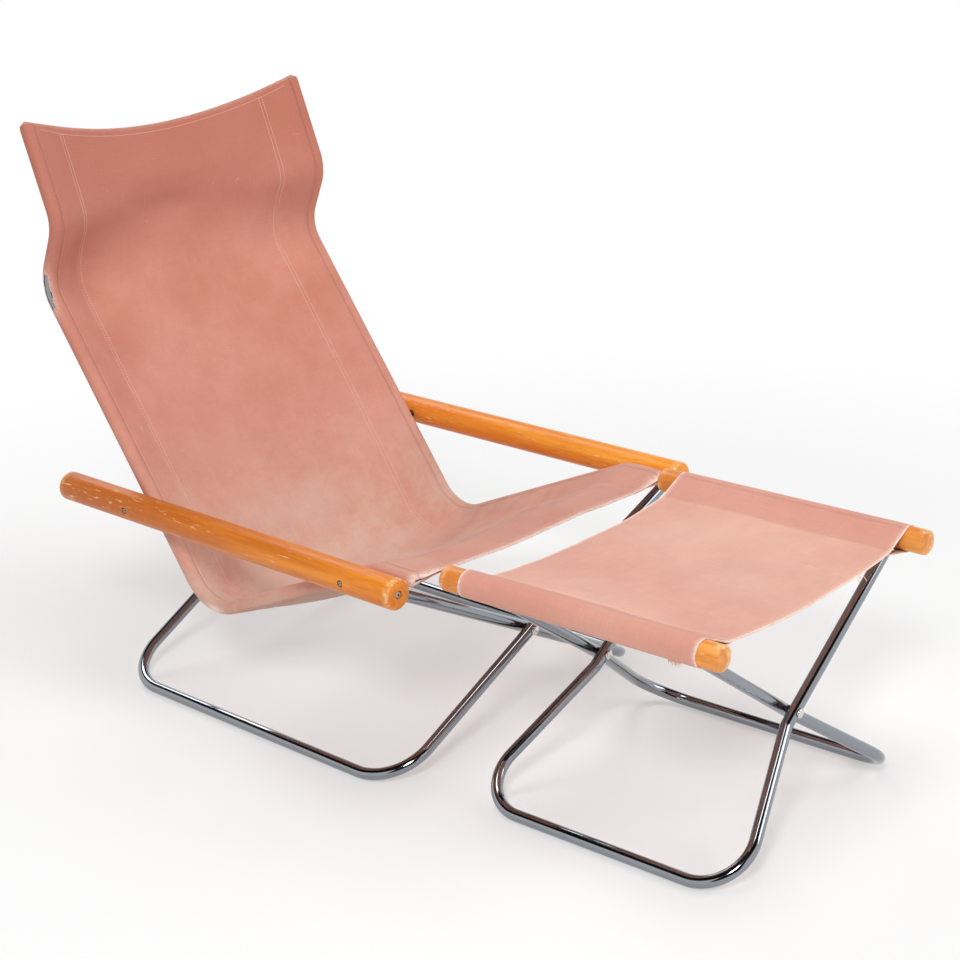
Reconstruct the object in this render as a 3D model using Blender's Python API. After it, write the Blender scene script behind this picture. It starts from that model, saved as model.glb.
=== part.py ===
"""Folding lounge chair with a matching folding footstool, at rest, in metres, +Z up.

The chair is two crossed tube frames that fold sideways, two round wooden arms on their tops, two bent side
tubes bolted to the arms, and a fabric sling between the side tubes. The stool repeats the crossed frames,
with wooden dowels on their tops and a fabric panel between the dowels.
"""

from __future__ import annotations

import math
from collections.abc import Callable, Sequence
from dataclasses import dataclass
from enum import Enum

import bmesh
import bpy
from mathutils import Matrix, Vector

# Tube, wood and cloth stock shared by the chair and the stool
TUBE_DIAMETER = 0.017
TUBE_WALL = 0.0012
PIVOT_BOLT_DIAMETER = 0.006
SCREW_DIAMETER = 0.005
WASHER_SPACE = 0.002
CLOTH_THICKNESS = 0.0013
FIT_GAP = 0.0003

# Chair arms and crossed frames
ARM_SPACING = 0.598
ARM_HEIGHT = 0.310
ARM_LENGTH = 0.696
ARM_DIAMETER = 0.043
CHAIR_PIVOT_HEIGHT = 0.153
CHAIR_TOP_SPACING = 0.6418
CHAIR_CROSS_SPACING = 0.5976
CHAIR_FOOT_SPACING = 0.584
CHAIR_BEND_RADIUS = 0.075
ARM_SIDE_SPACE = 0.006

# Side tube, seen from the side, measured from the middle of the arm and from its axis
SIDE_TOP_REACH = 0.424
SIDE_TOP_RISE = 0.526
SIDE_NECK_REACH = 0.369
SIDE_NECK_RISE = 0.388
SIDE_SHOULDER_REACH = 0.410
SIDE_SHOULDER_RISE = 0.293
SIDE_SEAT_REACH = 0.082
SIDE_SEAT_DROP = 0.150
SIDE_KNEE_REACH = 0.275
SIDE_KNEE_RISE = 0.007
SIDE_FRONT_REACH = 0.336
SIDE_SEAT_RADIUS = 0.070
SIDE_BACK_RADIUS = 0.060
SLING_TOP_SAG = 0.039
SLING_TOP_DIP = 0.030
SLING_BACK_SAG = 0.033
SLING_SEAT_SAG = 0.050
SLING_FRONT_SAG = 0.004

# Stool
STOOL_DISTANCE = 0.603
STOOL_ASIDE = 0.012
STOOL_TURN_DEG = 2.11
DOWEL_SPACING = 0.4756
DOWEL_HEIGHT = 0.334
DOWEL_LENGTH = 0.4325
DOWEL_DIAMETER = 0.0345
STOOL_PIVOT_HEIGHT = 0.1629
STOOL_CROSS_SPACING = 0.3094
STOOL_FOOT_SPACING = 0.4372
STOOL_BEND_RADIUS = 0.063
STOOL_SPLAY_DROP = 0.023
STOOL_CLOTH_WIDTH = 0.370
STOOL_CLOTH_OFFSET = -0.003
STOOL_CLOTH_SAG = 0.012

# Shares of the drawing that follow from the values above
TUBE_SIDES = 12
SCREW_SIDES = 8
WOOD_SIDES = 20
TUBE_RADIUS = TUBE_DIAMETER / 2
ARM_X = ARM_SPACING / 2
ARM_RADIUS = ARM_DIAMETER / 2
DOWEL_X = DOWEL_SPACING / 2
DOWEL_RADIUS = DOWEL_DIAMETER / 2
STAGGER = (TUBE_DIAMETER + WASHER_SPACE) / 2
SIDE_X = ARM_X - ARM_RADIUS - ARM_SIDE_SPACE - TUBE_RADIUS
SLEEVE_RADIUS = TUBE_RADIUS + FIT_GAP + CLOTH_THICKNESS
DOWEL_SLEEVE_RADIUS = DOWEL_RADIUS + FIT_GAP + CLOTH_THICKNESS
LEG_OVERRUN = 0.006
LEG_STRAIGHT = 0.030
PIVOT_FLAT = 0.012
HOLE_CLEARANCE = FIT_GAP

Point2 = tuple[float, float]


class Finish(Enum):
    """Base colour, metallic and roughness of the plain material that an object gets."""

    CHROME = ((0.62, 0.60, 0.57, 1.0), 1.0, 0.16)
    STEEL = ((0.34, 0.31, 0.27, 1.0), 1.0, 0.42)
    WOOD = ((0.60, 0.24, 0.05, 1.0), 0.0, 0.38)
    CLOTH = ((0.60, 0.28, 0.20, 1.0), 0.0, 0.90)
    PLASTIC = ((0.06, 0.05, 0.045, 1.0), 0.0, 0.55)


@dataclass(frozen=True)
class Shape:
    """A closed surface as points and faces, before it becomes an object."""

    points: list[Vector]
    faces: list[tuple[int, ...]]

    def moved(self, matrix: Matrix) -> Shape:
        """The same shape under a transform.

        Args:
            matrix: the 4 by 4 transform.

        Returns:
            A new shape.
        """
        return Shape([matrix @ point for point in self.points], self.faces)

    def joined(self, other: Shape) -> Shape:
        """Both shapes as one list of points and faces.

        Args:
            other: a shape that doesn't touch this one.

        Returns:
            A new shape.
        """
        start = len(self.points)
        moved = [tuple(start + index for index in face) for face in other.faces]
        return Shape(self.points + other.points, self.faces + moved)


def fillet(corners: Sequence[Point2], radii: Sequence[float], step_deg: float = 22.5) -> list[Point2]:
    """A polyline with its inner corners rounded.

    Args:
        corners: the sharp corners, ends included.
        radii: the bend radius at each inner corner, 0 to leave it sharp.
        step_deg: the largest turn between two points of a bend.

    Returns:
        The points of the rounded line.
    """
    line = [corners[0]]
    for before, corner, after, radius in zip(corners, corners[1:], corners[2:], radii):
        here = Vector(corner)
        back = (Vector(before) - here).normalized()
        ahead = (Vector(after) - here).normalized()
        turn = math.pi - back.angle(ahead)
        if radius == 0.0 or turn < 1e-4:
            line.append(corner)
            continue
        reach = radius * math.tan(turn / 2)
        centre = here + (back + ahead).normalized() * (radius / math.cos(turn / 2))
        start = here + back * reach - centre
        side = 1.0 if back.x * ahead.y - back.y * ahead.x < 0 else -1.0
        steps = max(2, math.ceil(math.degrees(turn) / step_deg))
        for index in range(steps + 1):
            angle = side * turn * index / steps
            cosine, sine = math.cos(angle), math.sin(angle)
            line.append(
                (
                    centre.x + start.x * cosine - start.y * sine,
                    centre.y + start.x * sine + start.y * cosine,
                )
            )
    line.append(corners[-1])
    return line


def sweep(path: Sequence[Vector], normal: Vector, outer: float, inner: float, phase: float = 0.0) -> Shape:
    """A hollow tube along a path that lies in one plane, open at both ends.

    Args:
        path: the centre line.
        normal: the normal of the plane that the path lies in.
        outer: distance from the centre line to the outer flats.
        inner: distance from the centre line to the inner flats.
        phase: angle in radians from the normal to the middle of the first flat.

    Returns:
        The closed surface of the tube wall.
    """
    points: list[Vector] = []
    half = math.pi / TUBE_SIDES
    for radius in (outer / math.cos(half), inner / math.cos(half)):
        for index, centre in enumerate(path):
            into = (centre - path[index - 1]).normalized() if index else None
            away = (path[index + 1] - centre).normalized() if index + 1 < len(path) else into
            into = into or away
            along = (into + away).normalized()
            across = along.cross(normal) / along.dot(into)
            for side in range(TUBE_SIDES):
                angle = phase + half * (2 * side + 1)
                points.append(centre + normal * (radius * math.cos(angle)) + across * (radius * math.sin(angle)))
    faces: list[tuple[int, ...]] = []
    shift = len(path) * TUBE_SIDES
    for side in range(TUBE_SIDES):
        after = (side + 1) % TUBE_SIDES
        for index in range(len(path) - 1):
            low, high = index * TUBE_SIDES, (index + 1) * TUBE_SIDES
            faces.append((low + side, low + after, high + after, high + side))
            faces.append((shift + high + side, shift + high + after, shift + low + after, shift + low + side))
        last = shift - TUBE_SIDES
        faces.append((side, shift + side, shift + after, after))
        faces.append((last + side, last + after, shift + last + after, shift + last + side))
    return Shape(points, faces)


def lathe(profile: Sequence[Point2], sides: int, ring: bool = False) -> Shape:
    """A profile turned round the local Z axis.

    Args:
        profile: pairs of radius to the flats and height; its ends have radius 0 unless ring is set.
        sides: number of flats.
        ring: whether the profile is a closed loop clear of the axis.

    Returns:
        The turned surface.
    """
    half = math.pi / sides
    points: list[Vector] = []
    rows: list[list[int]] = []
    for radius, height in profile:
        if radius == 0.0:
            rows.append([len(points)] * sides)
            points.append(Vector((0.0, 0.0, height)))
            continue
        rows.append(list(range(len(points), len(points) + sides)))
        for side in range(sides):
            angle = half * (2 * side + 1)
            reach = radius / math.cos(half)
            points.append(Vector((reach * math.cos(angle), reach * math.sin(angle), height)))
    pairs = list(zip(rows, rows[1:] + rows[:1])) if ring else list(zip(rows, rows[1:]))
    faces: list[tuple[int, ...]] = []
    for low, high in pairs:
        for side in range(sides):
            after = (side + 1) % sides
            loop = (low[side], low[after], high[after], high[side])
            faces.append(tuple(dict.fromkeys(loop)))
    return Shape(points, faces)


def prism(outline: Sequence[Point2], low: float, high: float) -> Shape:
    """An outline in X and Z extruded along Y.

    Args:
        outline: the corners in order.
        low: the lower Y.
        high: the higher Y.

    Returns:
        The extruded surface.
    """
    count = len(outline)
    points = [Vector((x, y, z)) for y in (low, high) for x, z in outline]
    faces: list[tuple[int, ...]] = [tuple(range(count)), tuple(range(2 * count - 1, count - 1, -1))]
    for index in range(count):
        after = (index + 1) % count
        faces.append((after, index, count + index, count + after))
    return Shape(points, faces)


def sheet(rows: Sequence[Sequence[Vector]], lifts: Sequence[Vector]) -> Shape:
    """A grid of points given a thickness.

    Args:
        rows: the grid, one list of points for each station.
        lifts: half of the thickness at each station, as a vector.

    Returns:
        The closed surface of the sheet.
    """
    wide = len(rows[0])
    points = [point + lift for row, lift in zip(rows, lifts) for point in row]
    points += [point - lift for row, lift in zip(rows, lifts) for point in row]
    shift = len(rows) * wide
    faces: list[tuple[int, ...]] = []
    rim: list[tuple[int, int]] = []
    for row in range(len(rows) - 1):
        for column in range(wide - 1):
            a = row * wide + column
            faces.append((a, a + 1, a + wide + 1, a + wide))
            faces.append((shift + a + wide, shift + a + wide + 1, shift + a + 1, shift + a))
        rim.append((row * wide, (row + 1) * wide))
        rim.append(((row + 2) * wide - 1, (row + 1) * wide - 1))
    last = shift - wide
    rim += [(column + 1, column) for column in range(wide - 1)]
    rim += [(last + column, last + column + 1) for column in range(wide - 1)]
    faces += [(a, b, shift + b, shift + a) for a, b in rim]
    return Shape(points, faces)


def along_y(x: float, y: float, z: float) -> Matrix:
    """The transform that takes the turning axis to +Y through a point."""
    return Matrix.Translation((x, y, z)) @ Matrix.Rotation(-math.pi / 2, 4, "X")


def along(direction: Vector, point: Vector) -> Matrix:
    """The transform that takes the turning axis to a direction through a point."""
    return Matrix.Translation(point) @ direction.to_track_quat("Z", "Y").to_matrix().to_4x4()


class Workshop:
    """Turns shapes into named objects with their origin on the joint axis."""

    def __init__(self) -> None:
        for old in list(bpy.data.objects):
            bpy.data.objects.remove(old)

    def add(self, name: str, shape: Shape, finish: Finish, origin: Vector) -> bpy.types.Object:
        """Make one piece.

        Args:
            name: the node name.
            shape: its surface in the shared frame.
            finish: the plain material.
            origin: a point on the axis that the piece turns about.

        Returns:
            The new object.
        """
        mesh = bpy.data.meshes.new(name)
        mesh.from_pydata([tuple(point - origin) for point in shape.points], [], shape.faces)
        form = bmesh.new()
        form.from_mesh(mesh)
        bmesh.ops.recalc_face_normals(form, faces=form.faces)
        form.to_mesh(mesh)
        form.free()
        mesh.shade_smooth()
        mesh.set_sharp_from_angle(angle=math.radians(40))
        thing = bpy.data.objects.new(name, mesh)
        thing.location = origin
        bpy.context.scene.collection.objects.link(thing)
        colour, metallic, roughness = finish.value
        material = bpy.data.materials.new(name)
        material.use_nodes = True
        shader = material.node_tree.nodes["Principled BSDF"]
        shader.inputs["Base Color"].default_value = colour
        shader.inputs["Metallic"].default_value = metallic
        shader.inputs["Roughness"].default_value = roughness
        mesh.materials.append(material)
        return thing

    def cut(self, thing: bpy.types.Object, name: str, shape: Shape) -> None:
        """Subtract a shape from a piece.

        Args:
            thing: the piece.
            name: the name of the cutter.
            shape: closed islands that don't touch each other.
        """
        cutter = self.add(name, shape, Finish.STEEL, Vector((0.0, 0.0, 0.0)))
        cutter.hide_render = True
        cutter.display_type = "WIRE"
        modifier = thing.modifiers.new(name, "BOOLEAN")
        modifier.operation = "DIFFERENCE"
        modifier.solver = "EXACT"
        modifier.object = cutter

    def centre_lengthwise(self) -> None:
        """Move everything along Y so that the box of all pieces has its middle at 0."""
        bpy.context.view_layer.update()
        reach = [
            (thing.matrix_world @ vertex.co).y
            for thing in bpy.data.objects
            if not thing.hide_render
            for vertex in thing.data.vertices
        ]
        shift = (min(reach) + max(reach)) / 2
        for thing in bpy.data.objects:
            thing.location.y -= shift


@dataclass(frozen=True)
class Frame:
    """One bent tube: a floor rail with two legs that cross the other frame and end in a wooden bar."""

    side: float
    stagger: float
    bar_x: float
    bar_height: float
    pivot_height: float
    top_spacing: float
    cross_spacing: float
    foot_spacing: float
    splay_drop: float
    bend_radius: float

    @property
    def slope(self) -> float:
        """Angle of the legs above the floor, in radians."""
        return math.atan2(self.bar_height - self.pivot_height, self.bar_x)

    @property
    def upper(self) -> float:
        """Length of a leg from the pivot to the axis of the bar."""
        return math.hypot(self.bar_x, self.bar_height - self.pivot_height)

    @property
    def lower(self) -> float:
        """Length of a leg from the pivot to the rail."""
        return (self.pivot_height - TUBE_RADIUS) / math.sin(self.slope)

    @property
    def reach(self) -> float:
        """Distance along Y from the centre line to the outermost point of a leg at the pivot."""
        step = 2 * math.pi / TUBE_SIDES
        off = self.slope % step
        off = min(off, step - off)
        return TUBE_RADIUS / math.cos(step / 2) * math.cos(step / 2 - off)

    def place(self, along_leg: float, y: float) -> Vector:
        """The point of the frame's plane at a distance up the leg and a Y."""
        return Vector(
            (
                self.side * along_leg * math.cos(self.slope),
                y + self.stagger,
                self.pivot_height + along_leg * math.sin(self.slope),
            )
        )

    def normal(self) -> Vector:
        """The upward normal of the frame's plane."""
        return Vector((-self.side * math.sin(self.slope), 0.0, math.cos(self.slope)))

    def path(self) -> list[Vector]:
        """The centre line from the rear leg's top round the rail to the front leg's top."""
        top, cross, foot = self.top_spacing / 2, self.cross_spacing / 2, self.foot_spacing / 2
        flat = PIVOT_FLAT
        rear = [
            (self.upper + LEG_OVERRUN, top),
            (self.upper - LEG_STRAIGHT, top),
            (flat, cross),
            (-max(flat, self.splay_drop), cross),
            (-self.lower, foot),
        ]
        corners = rear + [(s, -y) for s, y in reversed(rear)]
        radii = [0.0, 0.0, 0.0, self.bend_radius, self.bend_radius, 0.0, 0.0, 0.0]
        return [self.place(s, y) for s, y in fillet(corners, radii)]

    def tube(self) -> Shape:
        """The tube wall, with a flat of the rail on the floor."""
        phase = -self.side * self.slope
        return sweep(self.path(), self.normal(), TUBE_RADIUS, TUBE_RADIUS - TUBE_WALL, phase)

    def pivot_holes(self) -> Shape:
        """Cutters for the two pivot bolts."""
        radius = PIVOT_BOLT_DIAMETER / 2 + HOLE_CLEARANCE
        rod = lathe([(0.0, -TUBE_DIAMETER), (radius, -TUBE_DIAMETER), (radius, TUBE_DIAMETER), (0.0, TUBE_DIAMETER)], SCREW_SIDES)
        holes = [
            rod.moved(along_y(0.0, sign * self.cross_spacing / 2 + self.stagger, self.pivot_height))
            for sign in (-1.0, 1.0)
        ]
        return holes[0].joined(holes[1])


def pivot_hardware(work: Workshop, prefix: str, frame: Frame, place: Matrix, origin: Vector) -> None:
    """Add the bolts, washers and nuts of one pair of crossed frames.

    Args:
        work: the workshop.
        prefix: start of the node names.
        frame: the frame on the -Y side at each crossing.
        place: transform from the pair's own axes to the shared frame.
        origin: a point on the axis that this frame turns about.
    """
    bolt = PIVOT_BOLT_DIAMETER / 2
    head, cap = bolt + 0.0037, bolt + 0.0031
    room = 2 * STAGGER - 2 * frame.reach
    for end, sign in (("front", -1.0), ("rear", 1.0)):
        near = sign * frame.cross_spacing / 2 + frame.stagger
        far = near + 2 * STAGGER
        start = near - frame.reach - FIT_GAP
        stop = far + frame.reach + FIT_GAP
        z = frame.pivot_height
        shaft = lathe(
            [
                (0.0, start - 0.0036),
                (head * 0.45, start - 0.0033),
                (head * 0.8, start - 0.0023),
                (head, start - 0.0008),
                (head, start),
                (bolt, start),
                (bolt, stop + 0.0040),
                (0.0, stop + 0.0040),
            ],
            SCREW_SIDES,
        )
        nut = lathe(
            [
                (0.0, stop + 0.0045),
                (bolt + FIT_GAP, stop + 0.0045),
                (bolt + FIT_GAP, stop),
                (cap, stop),
                (cap, stop + 0.0030),
                (cap * 0.75, stop + 0.0055),
                (0.0, stop + 0.0063),
            ],
            SCREW_SIDES,
        )
        middle = near + STAGGER
        thick = room / 2 - FIT_GAP
        ring = [(bolt + FIT_GAP, -thick), (bolt + FIT_GAP, thick), (bolt + 0.003, thick), (bolt + 0.003, -thick)]
        work.add(f"{prefix}_bolt_{end}", shaft.moved(place @ along_y(0, 0, z)), Finish.CHROME, origin)
        work.add(f"{prefix}_nut_{end}", nut.moved(place @ along_y(0, 0, z)), Finish.STEEL, origin)
        work.add(
            f"{prefix}_washer_{end}",
            lathe(ring, SCREW_SIDES, ring=True).moved(place @ along_y(0, middle, z)),
            Finish.PLASTIC,
            origin,
        )


def chair_frame(side: float, stagger: float) -> Frame:
    """One of the chair's crossed frames."""
    return Frame(
        side,
        stagger,
        ARM_X,
        ARM_HEIGHT,
        CHAIR_PIVOT_HEIGHT,
        CHAIR_TOP_SPACING,
        CHAIR_CROSS_SPACING,
        CHAIR_FOOT_SPACING,
        0.0,
        CHAIR_BEND_RADIUS,
    )


def stool_frame(side: float, stagger: float) -> Frame:
    """One of the stool's crossed frames."""
    return Frame(
        side,
        stagger,
        DOWEL_X,
        DOWEL_HEIGHT,
        STOOL_PIVOT_HEIGHT,
        STOOL_CROSS_SPACING,
        STOOL_CROSS_SPACING,
        STOOL_FOOT_SPACING,
        STOOL_SPLAY_DROP,
        STOOL_BEND_RADIUS,
    )


def side_profile(front_run: float, top_run: float) -> list[Point2]:
    """The side tube's centre line as Y and Z, from the front end to the top.

    Args:
        front_run: extra length at the front end.
        top_run: extra length at the top end.

    Returns:
        The rounded line.
    """
    base = ARM_HEIGHT
    top = Vector((SIDE_TOP_REACH, base + SIDE_TOP_RISE))
    neck = Vector((SIDE_NECK_REACH, base + SIDE_NECK_RISE))
    end = top + (top - neck).normalized() * top_run
    corners = [
        (-SIDE_FRONT_REACH - front_run, base + SIDE_KNEE_RISE),
        (-SIDE_KNEE_REACH, base + SIDE_KNEE_RISE),
        (SIDE_SEAT_REACH, base - SIDE_SEAT_DROP),
        (SIDE_SHOULDER_REACH, base + SIDE_SHOULDER_RISE),
        (neck.x, neck.y),
        (end.x, end.y),
    ]
    return fillet(corners, [0.05, SIDE_SEAT_RADIUS, SIDE_BACK_RADIUS, SIDE_BACK_RADIUS], 20.0)


def side_screw_stations() -> list[float]:
    """The two places along Y, front and rear, where the side tube crosses the axis of the arm."""
    front_share = SIDE_SEAT_DROP / (SIDE_SEAT_DROP + SIDE_KNEE_RISE)
    rear_share = SIDE_SEAT_DROP / (SIDE_SEAT_DROP + SIDE_SHOULDER_RISE)
    front = SIDE_SEAT_REACH - (SIDE_SEAT_REACH + SIDE_KNEE_REACH) * front_share
    rear = SIDE_SEAT_REACH + (SIDE_SHOULDER_REACH - SIDE_SEAT_REACH) * rear_share
    return [front, rear]


def blend_between(share: float, stops: Sequence[Point2]) -> float:
    """A smooth value between stops given as pairs of share and value."""
    for (low, first), (high, second) in zip(stops, stops[1:]):
        if share <= high:
            t = min(1.0, max(0.0, (share - low) / (high - low)))
            return first + (second - first) * t * t * (3 - 2 * t)
    return stops[-1][1]


class Chair:
    """Builds the pieces of the chair, with the middle of its arms at Y 0."""

    def __init__(self, work: Workshop) -> None:
        self.work = work
        self.frame_a = chair_frame(1.0, -STAGGER)
        self.frame_b = chair_frame(-1.0, STAGGER)
        self.left_axis = Vector((ARM_X, 0.0, ARM_HEIGHT))
        self.right_axis = Vector((-ARM_X, 0.0, ARM_HEIGHT))
        self.cross_axis = Vector((0.0, 0.0, CHAIR_PIVOT_HEIGHT))

    def build(self) -> None:
        """Make every piece of the chair."""
        for name, frame, origin in (
            ("chair_frame_a", self.frame_a, self.left_axis),
            ("chair_frame_b", self.frame_b, self.cross_axis),
        ):
            tube = self.work.add(name, frame.tube(), Finish.CHROME, origin)
            self.work.cut(tube, f"cut_{name}_pivots", frame.pivot_holes())
            self.work.cut(tube, f"cut_{name}_tops", self.top_holes(frame))
        pivot_hardware(self.work, "chair_pivot", self.frame_a, Matrix.Identity(4), self.left_axis)
        for word, frame in (("left", self.frame_a), ("right", self.frame_b)):
            self.arm(word, frame)
            self.side(word, frame.side)
        self.sling()

    def top_holes(self, frame: Frame) -> Shape:
        """Cutters for the end screws, which are the hinge pins of the leg tops."""
        radius = SCREW_DIAMETER / 2 + HOLE_CLEARANCE
        rod = lathe([(0.0, -0.02), (radius, -0.02), (radius, 0.02), (0.0, 0.02)], SCREW_SIDES)
        spots = [
            rod.moved(along_y(frame.side * ARM_X, sign * CHAIR_TOP_SPACING / 2 + frame.stagger, ARM_HEIGHT))
            for sign in (-1.0, 1.0)
        ]
        return spots[0].joined(spots[1])

    def slot_outline(self, side: float, slope: float) -> list[Point2]:
        """The slot in an arm, round its axis, that clears a leg top from open to folded."""
        wide = TUBE_RADIUS / math.cos(math.pi / TUBE_SIDES) + 0.0005
        pocket = math.hypot(wide, LEG_OVERRUN) + 0.0006
        open_angle = math.pi + slope
        shut_angle = open_angle + math.radians(54.0)
        run = math.sqrt(pocket * pocket - wide * wide)
        swing = math.atan2(run, wide)
        first = shut_angle + math.pi / 2 - swing
        last = open_angle - math.pi / 2 + swing + 2 * math.pi
        steps = 12
        arc = [first + (last - first) * index / steps for index in range(steps + 1)]
        outline = [(pocket * math.cos(angle), pocket * math.sin(angle)) for angle in arc]
        far = ARM_RADIUS * 1.8
        for angle, turn in ((open_angle, -math.pi / 2), (shut_angle, math.pi / 2)):
            outline.append(
                (
                    far * math.cos(angle) + wide * math.cos(angle + turn),
                    far * math.sin(angle) + wide * math.sin(angle + turn),
                )
            )
            if turn < 0:
                middle = (open_angle + shut_angle) / 2
                outline.append((2.2 * ARM_RADIUS * math.cos(middle), 2.2 * ARM_RADIUS * math.sin(middle)))
        return [(side * (ARM_X + x), ARM_HEIGHT + z) for x, z in outline]

    def arm(self, word: str, frame: Frame) -> None:
        """One arm with its slots, its screw holes and its screws."""
        side, half = frame.side, ARM_LENGTH / 2
        origin = self.left_axis if side > 0 else self.right_axis
        bore = SCREW_DIAMETER / 2 + HOLE_CLEARANCE
        head, recess, sunk = 0.0052, 0.0056, 0.0030
        slot_half = TUBE_RADIUS / math.cos(math.pi / TUBE_SIDES) + 0.0007
        grip = 0.012
        tops = [sign * CHAIR_TOP_SPACING / 2 + frame.stagger for sign in (-1.0, 1.0)]
        front_end, rear_start = tops[0] + slot_half + grip, tops[1] - slot_half - grip
        edge = 0.0045
        profile = [
            (0.0, front_end + FIT_GAP),
            (bore, front_end + FIT_GAP),
            (bore, -half + sunk),
            (recess, -half + sunk),
            (recess, -half),
            (ARM_RADIUS - edge, -half),
            (ARM_RADIUS - edge * 0.3, -half + edge * 0.3),
            (ARM_RADIUS, -half + edge),
            (ARM_RADIUS, half - edge),
            (ARM_RADIUS - edge * 0.3, half - edge * 0.3),
            (ARM_RADIUS - edge, half),
            (recess, half),
            (recess, half - sunk),
            (bore, half - sunk),
            (bore, rear_start - FIT_GAP),
            (0.0, rear_start - FIT_GAP),
        ]
        axis = along_y(side * ARM_X, 0.0, ARM_HEIGHT)
        arm = self.work.add(f"arm_{word}", lathe(profile, WOOD_SIDES).moved(axis), Finish.WOOD, origin)
        outline = self.slot_outline(side, frame.slope)
        slots = [prism(outline, top - slot_half, top + slot_half) for top in tops]
        self.work.cut(arm, f"cut_arm_{word}_slots", slots[0].joined(slots[1]))
        outward = Vector((side, 0.0, 0.0))
        face = ARM_RADIUS - 0.0030
        hole = lathe(
            [
                (0.0, -0.03),
                (bore, -0.03),
                (bore, face),
                (0.0048, face),
                (0.0048, 0.03),
                (0.0, 0.03),
            ],
            SCREW_SIDES,
        )
        stations = side_screw_stations()
        spots = [Vector((side * ARM_X, y, ARM_HEIGHT)) for y in stations]
        holes = [hole.moved(along(outward, spot)) for spot in spots]
        self.work.cut(arm, f"cut_arm_{word}_side_holes", holes[0].joined(holes[1]))
        shaft = SCREW_DIAMETER / 2
        for end, start, stop in (("front", -half, front_end), ("rear", half, rear_start)):
            length = abs(stop - start)
            screw = lathe(
                [
                    (0.0, 0.0012),
                    (0.0018, 0.0012),
                    (0.0018, 0.0003),
                    (head * 0.85, 0.0003),
                    (head, 0.0008),
                    (head, sunk - FIT_GAP),
                    (shaft, sunk - FIT_GAP),
                    (shaft, length - 0.001),
                    (0.0, length),
                ],
                SCREW_SIDES,
            )
            inward = Vector((0.0, 1.0 if start < 0 else -1.0, 0.0))
            place = along(inward, Vector((side * ARM_X, start, ARM_HEIGHT)))
            self.work.add(f"arm_{word}_end_screw_{end}", screw.moved(place), Finish.STEEL, origin)
        reach = ARM_X - SIDE_X + 0.003
        side_screw = lathe(
            [
                (0.0, -reach),
                (shaft, -reach + 0.001),
                (shaft, face + FIT_GAP),
                (0.0044, face + FIT_GAP),
                (0.0044, face + 0.0020),
                (0.0036, face + 0.0026),
                (0.0015, face + 0.0026),
                (0.0015, face + 0.0016),
                (0.0, face + 0.0016),
            ],
            SCREW_SIDES,
        )
        inner, outer = SIDE_X + TUBE_RADIUS + FIT_GAP - ARM_X, -ARM_RADIUS - FIT_GAP
        ring = [(bore, inner), (0.006, inner), (0.006, outer), (bore, outer)]
        spacer = lathe(ring, SCREW_SIDES, ring=True)
        for end, spot in zip(("front", "rear"), spots):
            place = along(outward, spot)
            self.work.add(f"side_screw_{word}_{end}", side_screw.moved(place), Finish.STEEL, origin)
            self.work.add(f"side_spacer_{word}_{end}", spacer.moved(place), Finish.PLASTIC, origin)

    def side(self, word: str, side: float) -> None:
        """One side tube and the cloth sleeve round it."""
        origin = self.left_axis if side > 0 else self.right_axis
        normal = Vector((1.0, 0.0, 0.0))
        path = [Vector((side * SIDE_X, y, z)) for y, z in side_profile(0.0, 0.0)]
        tube = self.work.add(
            f"side_tube_{word}",
            sweep(path, normal, TUBE_RADIUS, TUBE_RADIUS - TUBE_WALL),
            Finish.CHROME,
            origin,
        )
        cover = [Vector((side * SIDE_X, y, z)) for y, z in side_profile(0.002, 0.008)]
        sleeve = self.work.add(
            f"sling_sleeve_{word}",
            sweep(cover, normal, SLEEVE_RADIUS, TUBE_RADIUS + FIT_GAP),
            Finish.CLOTH,
            origin,
        )
        outward = Vector((side, 0.0, 0.0))
        spots = [Vector((side * SIDE_X, y, ARM_HEIGHT)) for y in side_screw_stations()]
        for thing, radius in ((tube, SCREW_DIAMETER / 2 + HOLE_CLEARANCE), (sleeve, 0.0066)):
            rod = lathe([(0.0, 0.002), (radius, 0.002), (radius, 0.02), (0.0, 0.02)], SCREW_SIDES)
            holes = [rod.moved(along(outward, spot)) for spot in spots]
            self.work.cut(thing, f"cut_{thing.name}", holes[0].joined(holes[1]))

    def sling(self) -> None:
        """The fabric panel between the sleeves, with its sag."""
        line = [Vector(point) for point in side_profile(0.002, 0.008)]
        lengths = [0.0]
        for before, here in zip(line, line[1:]):
            lengths.append(lengths[-1] + (here - before).length)
        total = lengths[-1]
        half = SIDE_X - SLEEVE_RADIUS - FIT_GAP
        columns = 10
        sags = [
            (0.0, SLING_FRONT_SAG),
            (0.17, SLING_FRONT_SAG * 6.5),
            (0.36, SLING_SEAT_SAG),
            (0.62, SLING_BACK_SAG),
            (1.0, SLING_TOP_SAG),
        ]
        dips = [(0.0, 0.0), (0.72, 0.0), (1.0, SLING_TOP_DIP)]
        stations = self.stations(line, lengths)
        rows, lifts = [], []
        for spot, at in stations:
            ahead = self.point_at(line, lengths, min(total, at + 0.02))
            behind = self.point_at(line, lengths, max(0.0, at - 0.02))
            tangent = (ahead - behind).normalized()
            under = Vector((tangent.y, -tangent.x))
            share = at / total
            sag = blend_between(share, sags)
            dip = blend_between(share, dips)
            row = []
            for column in range(columns + 1):
                across = 2 * column / columns - 1
                depth = 1 - abs(across) ** 2.2
                middle = spot + under * (sag * depth) - tangent * (dip * depth)
                row.append(Vector((half * across, middle.x, middle.y)))
            rows.append(row)
            lifts.append(Vector((0.0, -under.x, -under.y)) * (CLOTH_THICKNESS / 2))
        self.work.add("sling_panel", sheet(rows, lifts), Finish.CLOTH, self.left_axis)

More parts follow.
